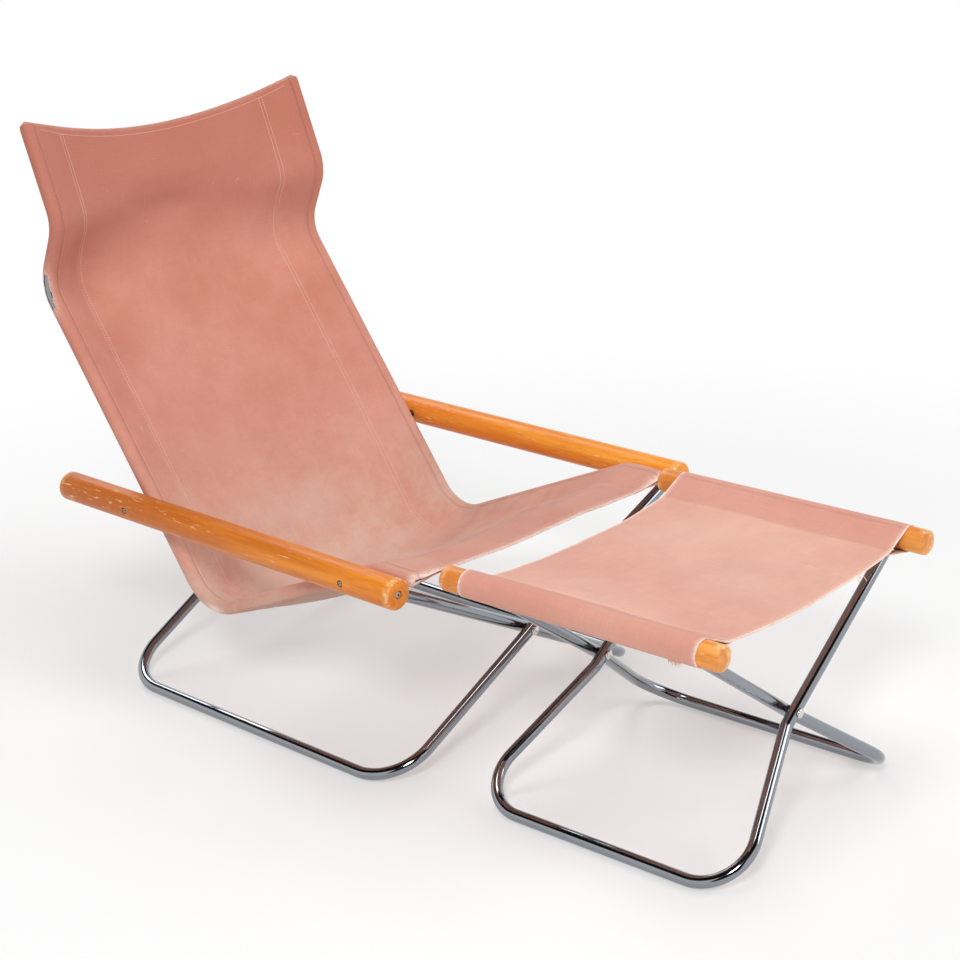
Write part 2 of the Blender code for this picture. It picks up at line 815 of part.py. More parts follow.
    def stations(self, line: list[Vector], lengths: list[float]) -> list[tuple[Vector, float]]:
        """The points of the line, with more added on its long straight runs."""
        found = [(line[0], 0.0)]
        for index in range(1, len(line)):
            run = lengths[index] - lengths[index - 1]
            parts = max(1, round(run / 0.055))
            for part in range(1, parts + 1):
                share = part / parts
                found.append((line[index - 1].lerp(line[index], share), lengths[index - 1] + run * share))
        return found

    def point_at(self, line: list[Vector], lengths: list[float], at: float) -> Vector:
        """The point of the line at a distance from its start."""
        for index in range(1, len(line)):
            if at <= lengths[index]:
                share = (at - lengths[index - 1]) / (lengths[index] - lengths[index - 1])
                return line[index - 1].lerp(line[index], share)
        return line[-1]


class Stool:
    """Builds the pieces of the stool in its own axes, then places them in front of the chair."""

    def __init__(self, work: Workshop) -> None:
        self.work = work
        self.frame_a = stool_frame(1.0, -STAGGER)
        self.frame_b = stool_frame(-1.0, STAGGER)
        turn = Matrix.Rotation(math.radians(STOOL_TURN_DEG), 4, "Z")
        self.place = Matrix.Translation((-STOOL_ASIDE, -STOOL_DISTANCE, 0.0)) @ turn
        self.origin = self.place @ Vector((0.0, 0.0, STOOL_PIVOT_HEIGHT))

    def build(self) -> None:
        """Make every piece of the stool."""
        for name, frame in (("stool_frame_a", self.frame_a), ("stool_frame_b", self.frame_b)):
            tube = self.work.add(name, frame.tube().moved(self.place), Finish.CHROME, self.origin)
            self.work.cut(tube, f"cut_{name}_pivots", frame.pivot_holes().moved(self.place))
            self.work.cut(tube, f"cut_{name}_screws", self.screw_holes(frame, False))
        pivot_hardware(self.work, "stool_pivot", self.frame_a, self.place, self.origin)
        for word, frame in (("left", self.frame_a), ("right", self.frame_b)):
            self.dowel(word, frame)
        self.panel()

    def spots(self, frame: Frame) -> list[Vector]:
        """Where the legs of a frame meet the axis of its dowel, front then rear."""
        return [frame.place(frame.upper, sign * STOOL_CROSS_SPACING / 2) for sign in (-1.0, 1.0)]

    def screw_holes(self, frame: Frame, with_head: bool) -> Shape:
        """Cutters for the screws that hold the leg tops in the dowel."""
        bore = 0.0020 + HOLE_CLEARANCE
        deep = -0.0125
        wide = 0.0036 + HOLE_CLEARANCE if with_head else bore
        hole = lathe(
            [
                (0.0, deep),
                (bore, deep),
                (bore, DOWEL_RADIUS - 0.0035),
                (wide, DOWEL_RADIUS - 0.0032),
                (wide, 0.03),
                (0.0, 0.03),
            ],
            SCREW_SIDES,
        )
        down = -frame.normal()
        holes = [hole.moved(self.place @ along(down, spot)) for spot in self.spots(frame)]
        return holes[0].joined(holes[1])

    def dowel(self, word: str, frame: Frame) -> None:
        """One dowel with its sockets, its screws and its sleeve."""
        half, edge = DOWEL_LENGTH / 2, 0.003
        profile = [
            (0.0, -half),
            (DOWEL_RADIUS - edge, -half),
            (DOWEL_RADIUS, -half + edge),
            (DOWEL_RADIUS, half - edge),
            (DOWEL_RADIUS - edge, half),
            (0.0, half),
        ]
        axis = self.place @ along_y(frame.side * DOWEL_X, 0.0, DOWEL_HEIGHT)
        dowel = self.work.add(f"stool_dowel_{word}", lathe(profile, WOOD_SIDES).moved(axis), Finish.WOOD, self.origin)
        wide = TUBE_RADIUS / math.cos(math.pi / TUBE_SIDES) + FIT_GAP
        leg = Vector((frame.side * math.cos(frame.slope), 0.0, math.sin(frame.slope)))
        bore = lathe(
            [(0.0, -0.05), (wide, -0.05), (wide, LEG_OVERRUN + FIT_GAP), (0.0, LEG_OVERRUN + FIT_GAP)],
            16,
        )
        sockets = [bore.moved(self.place @ along(leg, spot)) for spot in self.spots(frame)]
        self.work.cut(dowel, f"cut_{word}_sockets", sockets[0].joined(sockets[1]))
        self.work.cut(dowel, f"cut_{word}_screws", self.screw_holes(frame, True))
        face = DOWEL_RADIUS - 0.0032
        screw = lathe(
            [
                (0.0, -0.0115),
                (0.0020, -0.0105),
                (0.0020, face),
                (0.0036, face + FIT_GAP),
                (0.0036, face + 0.0022),
                (0.0, face + 0.0022),
            ],
            SCREW_SIDES,
        )
        for end, spot in zip(("front", "rear"), self.spots(frame)):
            place = self.place @ along(-frame.normal(), spot)
            self.work.add(f"dowel_screw_{word}_{end}", screw.moved(place), Finish.STEEL, self.origin)
        low, high = self.cloth_ends()
        ring = [
            (DOWEL_RADIUS + FIT_GAP, low),
            (DOWEL_SLEEVE_RADIUS, low),
            (DOWEL_SLEEVE_RADIUS, high),
            (DOWEL_RADIUS + FIT_GAP, high),
        ]
        sleeve = self.work.add(
            f"stool_sleeve_{word}",
            lathe(ring, WOOD_SIDES, ring=True).moved(axis),
            Finish.CLOTH,
            self.origin,
        )
        slit = lathe(
            [(0.0, -0.05), (wide + 0.0012, -0.05), (wide + 0.0012, -0.003), (0.0, -0.003)],
            16,
        )
        slits = [slit.moved(self.place @ along(leg, spot)) for spot in self.spots(frame)]
        self.work.cut(sleeve, f"cut_{word}_slits", slits[0].joined(slits[1]))

    def cloth_ends(self) -> tuple[float, float]:
        """The front and rear edges of the fabric along the dowels."""
        return (
            STOOL_CLOTH_OFFSET - STOOL_CLOTH_WIDTH / 2,
            STOOL_CLOTH_OFFSET + STOOL_CLOTH_WIDTH / 2,
        )

    def panel(self) -> None:
        """The fabric panel between the stool's sleeves."""
        low, high = self.cloth_ends()
        half = DOWEL_X - DOWEL_SLEEVE_RADIUS - FIT_GAP
        columns, count = 10, 5
        rows = []
        for row in range(count + 1):
            share = row / count
            sag = STOOL_CLOTH_SAG * (1.0 - 0.25 * math.cos(math.pi * (2 * share - 1)) ** 2)
            y = low + (high - low) * share
            rows.append(
                [
                    self.place
                    @ Vector(
                        (
                            half * (2 * column / columns - 1),
                            y,
                            DOWEL_HEIGHT - sag * (1 - abs(2 * column / columns - 1) ** 2),
                        )
                    )
                    for column in range(columns + 1)
                ]
            )
        lift = Vector((0.0, 0.0, CLOTH_THICKNESS / 2))
        self.work.add("stool_panel", sheet(rows, [lift] * (count + 1)), Finish.CLOTH, self.origin)


def main(builders: Sequence[Callable[[Workshop], Chair | Stool]]) -> None:
    """Build everything and centre it.

    Args:
        builders: the classes that build the chair and the stool.
    """
    work = Workshop()
    for builder in builders:
        builder(work).build()
    work.centre_lengthwise()


if __name__ == "__main__":
    main((Chair, Stool))
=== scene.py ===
"""Looks of a folding lounge chair with a canvas sling and of the folding footstool in front of it."""

from __future__ import annotations

import logging
import math
from bisect import bisect_left
from collections.abc import Callable, Sequence
from dataclasses import dataclass
from enum import Enum
from functools import partial

import bmesh
import bpy
from mathutils import Matrix, Vector, noise

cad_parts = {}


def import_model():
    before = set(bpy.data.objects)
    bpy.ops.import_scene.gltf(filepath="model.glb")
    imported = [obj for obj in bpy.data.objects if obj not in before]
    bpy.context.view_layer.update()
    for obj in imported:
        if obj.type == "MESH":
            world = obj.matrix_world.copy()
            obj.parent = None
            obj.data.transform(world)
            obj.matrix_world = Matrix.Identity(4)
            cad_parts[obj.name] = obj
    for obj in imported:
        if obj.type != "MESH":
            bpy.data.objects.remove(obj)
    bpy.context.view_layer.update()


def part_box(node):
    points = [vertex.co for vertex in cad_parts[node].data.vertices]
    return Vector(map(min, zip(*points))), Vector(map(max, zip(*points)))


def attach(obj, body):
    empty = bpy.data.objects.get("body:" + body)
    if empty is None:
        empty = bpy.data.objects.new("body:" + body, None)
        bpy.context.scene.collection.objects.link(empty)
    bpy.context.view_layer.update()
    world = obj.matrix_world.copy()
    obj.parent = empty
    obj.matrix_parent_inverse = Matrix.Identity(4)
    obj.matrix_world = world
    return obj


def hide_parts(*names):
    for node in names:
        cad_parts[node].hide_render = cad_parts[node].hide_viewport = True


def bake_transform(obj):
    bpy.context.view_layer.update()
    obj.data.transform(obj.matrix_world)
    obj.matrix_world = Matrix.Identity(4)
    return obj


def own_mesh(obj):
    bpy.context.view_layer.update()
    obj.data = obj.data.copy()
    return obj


LOG = logging.getLogger("lounge_chair")
Point2 = tuple[float, float]
Colour = tuple[float, float, float, float]
Outline = Sequence[Point2]
Material, Node = bpy.types.Material, bpy.types.Node
Socket, Sockets = bpy.types.NodeSocket, bpy.types.NodeOutputs
ALONG_Y, UP = Vector((0, 1, 0)), Vector((0, 0, 1))
ENDS = (("front", -1.0), ("rear", 1.0))
TUBE_WALL = 0.0012
LAYER_GAP = 0.0013  # between the middles of two layers of cloth
STITCH_PITCH = 0.0042
STITCH_BELOW = -0.0021  # a stitch under two layers


class Body(Enum):
    """The moving bodies that pieces ride on."""

    LEFT = "left_side"
    LEGS_A = "leg_frame_a"
    LEGS_B = "leg_frame_b"
    RIGHT = "right_side"
    STOOL_A = "stool_frame_a"
    STOOL_B = "stool_frame_b"


class Slot(Enum):
    """The record's material slots."""

    CHROME = "chromed_tube"
    BOLT = "bolt_head"
    SCREW = "dark_screw"
    ARM = "arm_wood"
    DOWEL = "dowel_wood"
    CANVAS = "canvas"
    STOOL_CANVAS = "stool_canvas"
    PLASTIC = "black_plastic"


def srgb(red: int, green: int, blue: int) -> Colour:
    """A linear colour from 8-bit display values."""

    def linear(value: int) -> float:
        share = value / 255
        return share / 12.92 if share <= 0.04045 else ((share + 0.055) / 1.055) ** 2.4

    return (linear(red), linear(green), linear(blue), 1.0)


def smooth(low: float, high: float, value: float) -> float:
    """A smooth step from 0 at low to 1 at high."""
    share = min(1.0, max(0.0, (value - low) / (high - low)))
    return share * share * (3 - 2 * share)


def evenly(count: int, low: float = 0.0, high: float = 1.0) -> list[float]:
    """Values from low to high in equal steps."""
    return [low + (high - low) * index / count for index in range(count + 1)]


def with_hems(rows: list[float], fold: Sequence[float]) -> list[float]:
    """Rows of cloth with the rows of a hem past either end."""
    return [rows[0] - step for step in reversed(fold)] + rows + [rows[-1] + step for step in fold]


def stops_at(share: float, stops: Sequence[Point2]) -> float:
    """A smooth value between stops given as pairs of share and value."""
    for (low, first), (high, second) in zip(stops, stops[1:]):
        if share <= high:
            return first + (second - first) * smooth(low, high, share)
    return stops[-1][1]


# Node groups and finishes


class Graph:
    """A short way to add and link the nodes of one tree."""

    def __init__(self, tree: bpy.types.NodeTree) -> None:
        self.tree = tree

    def feed(self, node: Node, **values: object) -> Node:
        """Set or link inputs of a node.

        Args:
            node: the node.
            values: values or sockets by input name, with _ for a space, or by i and the input's number.

        Returns:
            The node.
        """
        for key, value in values.items():
            target = node.inputs[int(key[1:]) if key[1:].isdigit() else key.replace("_", " ")]
            if isinstance(value, Socket):
                self.tree.links.new(value, target)
            else:
                target.default_value = value
        return node

    def node(self, kind: str, **values: object) -> Node:
        """Add a node and set its properties and inputs.

        Args:
            kind: the node type without its ShaderNode prefix.
            values: properties by name; a name that isn't a property is an input, as feed takes it.

        Returns:
            The new node.
        """
        made = self.tree.nodes.new(kind if kind.startswith("NodeGroup") else "ShaderNode" + kind)
        for key in [key for key in values if hasattr(made, key)]:
            setattr(made, key, values.pop(key))
        return self.feed(made, **values)

    def math(self, operation: str, first: object, second: object = 0.5, clamp: bool = False) -> Socket:
        """One Math node of two sockets or numbers."""
        return self.node("Math", operation=operation, use_clamp=clamp, i0=first, i1=second).outputs[0]

    def plus(self, first: object, second: object, clamp: bool = False) -> Socket:
        """The sum of two sockets or numbers."""
        return self.math("ADD", first, second, clamp)

    def minus(self, first: object, second: object) -> Socket:
        """The difference of two sockets or numbers."""
        return self.math("SUBTRACT", first, second)

    def times(self, first: object, second: object, clamp: bool = False) -> Socket:
        """The product of two sockets or numbers."""
        return self.math("MULTIPLY", first, second, clamp)

    def mix(self, factor: object, first: object, second: object, blend: str = "MIX") -> Socket:
        """One colour Mix node of sockets or colours."""
        return self.node("Mix", data_type="RGBA", blend_type=blend, i0=factor, i6=first, i7=second).outputs[2]

    def ramp(self, value: Socket, low: float, high: float, start: float = 0.0, stop: float = 1.0) -> Socket:
        """A clamped, smooth Map Range from low and high to start and stop."""
        limits = {"i0": value, "i1": low, "i2": high, "i3": start, "i4": stop}
        return self.node("MapRange", interpolation_type="SMOOTHSTEP", **limits).outputs[0]

    def noise(self, vector: Socket, scale: object, detail: float = 3.0, rough: float = 0.55) -> Socket:
        """The grey value of a noise texture."""
        return self.node("TexNoise", Vector=vector, Scale=scale, Detail=detail, Roughness=rough).outputs[0]

    def streaks(
        self, vector: Socket, scale: Sequence[float], detail: float = 2.0, rough: float = 0.55
    ) -> Socket:
        """The grey value of a noise texture with its own scale along each axis."""
        return self.noise(self.node("Mapping", Vector=vector, Scale=scale).outputs[0], 1.0, detail, rough)

    def coords(self) -> Socket:
        """Object coordinates."""
        return self.node("TexCoord").outputs["Object"]

    def worn(self) -> Socket:
        """The share of wear that the mesh stores, which on screw heads is painted light."""
        return self.node("Attribute", attribute_name="worn").outputs["Fac"]

    def split(self, vector: Socket) -> list[Socket]:
        """The three parts of a vector."""
        return self.node("SeparateXYZ", i0=vector).outputs[:]

    def length(self, vector: Socket) -> Socket:
        """The length of a vector."""
        return self.node("VectorMath", operation="LENGTH", i0=vector).outputs["Value"]

    def seen(self) -> Socket:
        """1 for rays from the camera and for mirrored and clear ones, 0 for the rest."""
        rays = self.node("LightPath").outputs
        seen = self.math("MAXIMUM", rays["Is Camera Ray"], rays["Is Glossy Ray"])
        return self.math("MAXIMUM", seen, rays["Is Transmission Ray"])

    def surface(self, shader: Node, height: Socket, strength: float, depth: float, **values: object) -> None:
        """Set a Principled BSDF and its bump.

        Args:
            shader: the shader node.
            height: the bump's height.
            strength: the bump's strength.
            depth: the bump's distance in metres.
            values: the shader's inputs, as feed takes them.
        """
        bump = self.node("Bump", Strength=strength, Distance=depth, Height=height)
        self.feed(shader, Normal=bump.outputs[0], **values)


def new_group(name: str, inputs: dict[str, object], outputs: Sequence[str]) -> tuple[Graph, Node, Node]:
    """A node group with its own input and output nodes.

    Args:
        name: the group's name.
        inputs: the default of each number by its label, or None for a vector.
        outputs: the label of each output, all of them numbers.

    Returns:
        The graph, the input node and the output node.
    """
    tree = bpy.data.node_groups.new(name, "ShaderNodeTree")
    for label, value in inputs.items():
        kind = "NodeSocketVector" if value is None else "NodeSocketFloat"
        socket = tree.interface.new_socket(name=label, in_out="INPUT", socket_type=kind)
        if value is not None:
            socket.default_value = value
    for label in outputs:
        tree.interface.new_socket(name=label, in_out="OUTPUT", socket_type="NodeSocketFloat")
    graph = Graph(tree)
    return graph, graph.node("NodeGroupInput"), graph.node("NodeGroupOutput")


def speckle_group() -> bpy.types.NodeTree:
    """Patches and fine scratches shared by metal and varnish: a patch mask, a scratch mask and a height."""
    inputs = {"Vector": None, "Patch Scale": 20.0, "Patch Amount": 0.5, "Scratch Amount": 0.5}
    graph, given, out = new_group("patches_and_scratches", inputs, ("Patches", "Scratches", "Height"))
    vector, scale, amount, scratched = given.outputs[:4]
    level = graph.minus(0.78, graph.times(amount, 0.4))
    mask = graph.times(graph.minus(graph.noise(vector, scale, 5.0, 0.62), level), 7.0, clamp=True)
    turned = graph.node("Mapping", Vector=vector, Rotation=(0.5, 0.3, 0.7), Scale=(420.0, 26.0, 420.0))
    lines = graph.noise(turned.outputs[0], 1.0, 2.0, 0.5)
    thin = graph.times(graph.minus(lines, 0.66), 9.0, clamp=True)
    where = graph.ramp(graph.noise(vector, 31.0, 2.0), 0.45, 0.62)
    scratches = graph.times(graph.times(thin, where), scratched, clamp=True)
    height = graph.minus(graph.times(mask, -0.4), scratches)
    graph.feed(out, Patches=mask, Scratches=scratches, Height=height)
    return graph.tree


def weave_group() -> bpy.types.NodeTree:
    """Plain canvas weave from a UV map in metres: a thread height, a thread shade and a slub mask."""
    inputs = {"UV": None, "Threads per Metre": 1150.0}
    graph, given, out = new_group("canvas_weave", inputs, ("Height", "Shade", "Slubs"))
    uv, threads = given.outputs[:2]
    wobble = graph.times(graph.minus(graph.noise(uv, 160.0, 1.0), 0.5), 0.0006)
    waves = []
    for way in graph.split(uv)[:2]:
        turns = graph.times(graph.plus(way, wobble), threads)
        waves.append(graph.math("SINE", graph.times(turns, math.pi)))
    height = graph.math("ABSOLUTE", graph.times(*waves))
    warp, weft = (graph.streaks(uv, scale, 1.0) for scale in ((900.0, 24.0, 1.0), (24.0, 900.0, 1.0)))
    shade = graph.plus(graph.times(warp, 0.5), graph.times(weft, 0.5))
    slubs = graph.ramp(graph.streaks(uv, (60.0, 1400.0, 1.0), 1.0), 0.68, 0.8)
    graph.feed(out, Height=height, Shade=shade, Slubs=slubs)
    return graph.tree


def grain_group() -> bpy.types.NodeTree:
    """Straight wood grain along Y: a broad figure, fine pores and a height."""
    graph, given, out = new_group("wood_grain", {"Vector": None}, ("Figure", "Pores", "Height"))
    vector = given.outputs[0]
    drift = graph.node("TexNoise", Vector=vector, Scale=3.0, Detail=1.0).outputs["Color"]
    small = graph.node("VectorMath", operation="SCALE", Scale=0.012, i0=drift).outputs[0]
    bent = graph.node("VectorMath", operation="ADD", i0=vector, i1=small).outputs[0]
    figure = graph.streaks(bent, (62.0, 3.4, 62.0), 4.0, 0.6)
    pores = graph.ramp(graph.streaks(bent, (900.0, 30.0, 900.0)), 0.57, 0.72)
    graph.feed(out, Figure=figure, Pores=pores, Height=graph.times(pores, -1.0))
    return graph.tree


class Finishes:
    """The node groups, built once, and the start of every material."""

    def __init__(self) -> None:
        self.speckle = speckle_group()
        self.weave = weave_group()
        self.grain = grain_group()

    def start(self, name: str) -> tuple[Graph, Node]:
        """A new material.

        Args:
            name: the material's name.

        Returns:
            Its graph and its Principled BSDF.
        """
        material = bpy.data.materials.new(name)
        material.use_nodes = True
        return Graph(material.node_tree), material.node_tree.nodes["Principled BSDF"]

    def placed(self, graph: Graph, group: bpy.types.NodeTree, vector: Socket, **values: float) -> Sockets:
        """One of the shared groups inside a material.

        Args:
            graph: the material's graph.
            group: the shared group.
            vector: what drives its first input.
            values: other inputs by name, with _ for a space.

        Returns:
            The group's outputs.
        """
        return graph.node("Group", node_tree=group, i0=vector, **values).outputs

    def marks(self, graph: Graph, coords: Socket, scale: float, patches: float, scratches: float) -> Sockets:
        """The outputs of the patches and scratches in a material."""
        amounts = {"Patch_Scale": scale, "Patch_Amount": patches, "Scratch_Amount": scratches}
        return self.placed(graph, self.speckle, coords, **amounts)


@dataclass(frozen=True)
class Chrome:
    """Old chrome plate: bright, finely pitted, and brown where the plating is thin."""

    name: str
    bright: Colour = srgb(146, 151, 157)
    tarnish: Colour = srgb(104, 97, 88)
    tarnish_amount: float = 0.25
    roughness: float = 0.09

    def material(self, finishes: Finishes) -> Material:
        """Build the material."""
        graph, shader = finishes.start(self.name)
        coords = graph.coords()
        marks = finishes.marks(graph, coords, 46.0, self.tarnish_amount, 0.7)
        pits = graph.ramp(graph.noise(coords, 900.0, 2.0), 0.60, 0.72)
        brown = graph.plus(graph.times(marks["Patches"], 0.75), graph.times(pits, 0.35), clamp=True)
        rough = graph.plus(self.roughness, graph.times(brown, 0.22))
        rough = graph.plus(rough, graph.times(marks["Scratches"], 0.15))
        colour = graph.mix(brown, self.bright, self.tarnish)
        graph.surface(shader, marks["Height"], 0.25, 0.0002, Base_Color=colour, Roughness=rough, Metallic=1.0)
        return bpy.data.materials[self.name]


@dataclass(frozen=True)
class Varnish:
    """Orange-brown varnished wood: pale scuffs along it, a rubbed ring at each end and painted shade towards
    the rear end.
    """

    name: str
    low_end: float
    high_end: float
    centre: Point2
    radius: float
    light: Colour
    dark: Colour
    # Painted shade: the colour towards the rear end.
    rear: Colour
    scuffs: float
    bare: Colour = srgb(250, 214, 164)
    pore: Colour = srgb(132, 66, 18)

    def material(self, finishes: Finishes) -> Material:
        """Build the material."""
        graph, shader = finishes.start(self.name)
        coords = graph.coords()
        grain = finishes.placed(graph, finishes.grain, coords)
        marks = finishes.marks(graph, coords, 34.0, 0.30, 0.8)
        x, y, z = graph.split(coords)
        run = graph.minus(y, self.low_end)
        colour = graph.mix(graph.ramp(grain["Figure"], 0.33, 0.67), self.dark, self.light)
        # Painted shade: darker towards the rear end, which the light reaches less.
        colour = graph.mix(graph.ramp(run, 0.0, self.high_end - self.low_end, 0.0, 0.8), colour, self.rear)
        colour = graph.mix(graph.times(grain["Pores"], 0.35), colour, self.pore)
        off = [graph.minus(part, middle) for part, middle in zip((x, z), self.centre)]
        across = graph.node("CombineXYZ", i0=off[0], i2=off[1])
        outer = graph.ramp(graph.length(across.outputs[0]), self.radius - 0.0035, self.radius - 0.0012)
        away = graph.math("MINIMUM", run, graph.minus(self.high_end, y))
        rim = graph.times(graph.ramp(away, 0.003, 0.014, 1.0, 0.0), outer)
        rim = graph.times(rim, graph.ramp(graph.noise(coords, 150.0, 4.0, 0.7), 0.42, 0.62, 0.15, 1.0))
        places = graph.ramp(graph.streaks(coords, (30.0, 7.0, 30.0)), 0.50, 0.60)
        scuffs = graph.ramp(graph.streaks(coords, (420.0, 42.0, 420.0), 2.0, 0.5), 0.62, 0.68)
        worn = graph.plus(graph.times(marks["Scratches"], 0.4), graph.times(rim, 0.7), clamp=True)
        worn = graph.plus(worn, graph.times(graph.times(scuffs, places), self.scuffs * 0.85), clamp=True)
        graph.surface(
            shader,
            graph.plus(grain["Height"], graph.times(worn, -1.2)),
            0.35,
            0.0003,
            Base_Color=graph.mix(worn, colour, self.bare),
            Roughness=graph.plus(0.36, graph.times(worn, 0.35)),
            Specular_IOR_Level=0.28,
            Coat_Weight=0.06,
            Coat_Roughness=0.22,
        )
        return bpy.data.materials[self.name]


@dataclass(frozen=True)
class Canvas:
    """Faded cotton canvas: weave, blotches of fading, soil, pale rubbed edges, and painted shade on the
    sleeves and towards the top.
    """

    name: str
    fresh: Colour
    faded: Colour
    soil: Colour
    soil_low: float
    soil_high: float
    soil_amount: float
    # Painted shade: a darker colour for parts that the light reaches less.
    painted_shade: Colour
    pale: Colour = srgb(240, 212, 200)
    shade_from: float = 1.0
    shade_amount: float = 0.0
    top_shade: float = 0.0

    def material(self, finishes: Finishes) -> Material:
        """Build the material."""
        graph, shader = finishes.start(self.name)
        uv, coords = graph.node("UVMap", uv_map="cloth").outputs[0], graph.coords()
        height = graph.split(coords)[2]
        weave = finishes.placed(graph, finishes.weave, uv)
        broad = graph.ramp(graph.noise(coords, 3.2, 2.0, 0.5), 0.34, 0.66)
        blotch = graph.ramp(graph.noise(coords, 17.0, 5.0, 0.7), 0.32, 0.72)
        fade = graph.plus(graph.times(broad, 0.6), graph.times(blotch, 0.4))
        colour = graph.mix(fade, self.fresh, self.faded)
        off_middle = graph.math("ABSOLUTE", graph.split(uv)[0])
        # Painted shade on the sleeves past the seams, which slope away from the light.
        sleeve_shade = graph.ramp(off_middle, self.shade_from, self.shade_from + 0.004)
        colour = graph.mix(graph.times(sleeve_shade, self.shade_amount), colour, self.painted_shade)
        # Painted shade: darker towards the top of the cloth.
        colour = graph.mix(graph.ramp(height, 0.56, 0.80, 0.0, self.top_shade), colour, self.painted_shade)
        low = graph.ramp(height, self.soil_low, self.soil_high, 1.0, 0.0)
        dirt = graph.times(low, graph.ramp(graph.noise(coords, 7.0, 5.0, 0.7), 0.30, 0.64, 0.25, 1.0))
        colour = graph.mix(graph.times(dirt, self.soil_amount), colour, self.soil)
        colour = graph.mix(1.0, colour, graph.ramp(weave["Shade"], 0.3, 0.7, 0.955, 1.04), "MULTIPLY")
        colour = graph.mix(graph.ramp(weave["Height"], 0.0, 0.35, 0.12, 0.0), colour, self.fresh)
        rubs = graph.ramp(graph.streaks(coords, (30.0, 6.0, 30.0), 4.0, 0.7), 0.66, 0.80, 0.0, 0.35)
        tatters = graph.ramp(graph.noise(coords, 240.0, 3.0), 0.30, 0.60, 0.45, 1.3)
        worn = graph.plus(rubs, graph.times(graph.worn(), tatters, clamp=True))
        pale = graph.plus(graph.times(weave["Slubs"], 0.18), worn, clamp=True)
        graph.surface(
            shader,
            weave["Height"],
            0.5,
            0.0003,
            Base_Color=graph.mix(pale, colour, self.pale),
            Roughness=graph.ramp(blotch, 0.0, 1.0, 0.82, 0.95),
            Sheen_Weight=0.12,
            Sheen_Roughness=0.45,
            Specular_IOR_Level=0.2,
        )
        return bpy.data.materials[self.name]


@dataclass(frozen=True)
class Plain:
    """A finish of one colour with patches and scratches: screws, plastic and thread."""

    name: str
    colour: Colour
    worn: Colour
    metallic: float
    roughness: float

    def material(self, finishes: Finishes) -> Material:
        """Build the material."""
        graph, shader = finishes.start(self.name)
        marks = finishes.marks(graph, graph.coords(), 240.0, 0.45, 0.5)
        # Patches of wear, and the worn attribute, which on screw heads is painted light on their centres.
        wear = graph.plus(graph.times(marks["Patches"], 0.4), graph.worn(), clamp=True)
        graph.surface(
            shader,
            marks["Height"],
            0.3,
            0.0002,
            Base_Color=graph.mix(wear, self.colour, self.worn),
            Roughness=graph.plus(self.roughness, graph.times(wear, 0.15)),
            Metallic=self.metallic,
        )
        return bpy.data.materials[self.name]


# Mesh work


def fillet(corners: Sequence[Point2], radii: Sequence[float], step_deg: float = 4.0) -> list[Point2]:
    """A line with its inner corners rounded.

    Args:
        corners: the sharp corners, ends included.
        radii: the bend radius at each inner corner, 0 to leave it sharp.
        step_deg: the largest turn between two points of a bend.

    Returns:
        The points of the rounded line.
    """
    line = [corners[0]]
    for before, corner, after, radius in zip(corners, corners[1:], corners[2:], radii):
        here = Vector(corner)
        back = (Vector(before) - here).normalized()
        ahead = (Vector(after) - here).normalized()
        turn = math.pi - back.angle(ahead)
        if radius == 0.0 or turn < 1e-4:
            line.append(corner)
            continue
        centre = here + (back + ahead).normalized() * (radius / math.cos(turn / 2))
        start = here + back * (radius * math.tan(turn / 2)) - centre
        side = 1.0 if back.x * ahead.y - back.y * ahead.x < 0 else -1.0
        steps = max(3, math.ceil(math.degrees(turn) / step_deg))
        for index in range(steps + 1):
            spot = Matrix.Rotation(side * turn * index / steps, 2) @ start + centre
            line.append((spot.x, spot.y))
    line.append(corners[-1])
    return line


def along(direction: Vector, point: Vector) -> Matrix:
    """The transform that takes local +Z to a direction through a point."""
    return Matrix.Translation(point) @ direction.to_track_quat("Z", "Y").to_matrix().to_4x4()


def bar(radius: float, low: float, high: float) -> list[Point2]:
    """The outline of a plain round bar, as radius and height."""
    return [(0.0, low), (radius, low), (radius, high), (0.0, high)]


def ring(bore: float, radius: float, low: float, high: float) -> list[Point2]:
    """The outline of a plain ring, as radius and height."""
    return [(bore, low), (radius, low), (radius, high), (bore, high)]


def eased_bar(half: float, radius: float, edge: float, steps: int, face: Sequence[float] = ()) -> Outline:
    """The outline of a round bar with rounded edges, as radius and height.

    Args:
        half: half of its length.
        radius: its radius.
        edge: the radius of its edges.
        steps: parts that its side is divided into.
        face: radii of more rings on each end face.

    Returns:
        The outline, from the low end to the high one.
    """
    turns = (0.0, 0.4, 0.8, 1.2, 1.57)
    curve = [(radius - edge + edge * math.sin(turn), half - edge + edge * math.cos(turn)) for turn in turns]
    upper = [(0.0, half), *[(reach, half) for reach in face], *curve]
    side = [(radius, height) for height in evenly(steps, -half, half)[1:-1]]
    return [(reach, -height) for reach, height in upper] + side + upper[::-1]


def mesh_of(form: bmesh.types.BMesh, name: str) -> bpy.types.Mesh:
    """Turn a bmesh into a mesh and free it."""
    mesh = bpy.data.meshes.new(name)
    form.to_mesh(mesh)
    form.free()
    return mesh


def add_object(name: str, data: bpy.types.ID) -> bpy.types.Object:
    """Add an object to the scene."""
    thing = bpy.data.objects.new(name, data)
    bpy.context.scene.collection.objects.link(thing)
    return thing


def shade(mesh: bpy.types.Mesh, sharp_deg: float) -> None:
    """Shade a mesh smooth, but for edges that turn more than an angle."""
    mesh.shade_smooth()
    mesh.set_sharp_from_angle(angle=math.radians(sharp_deg))


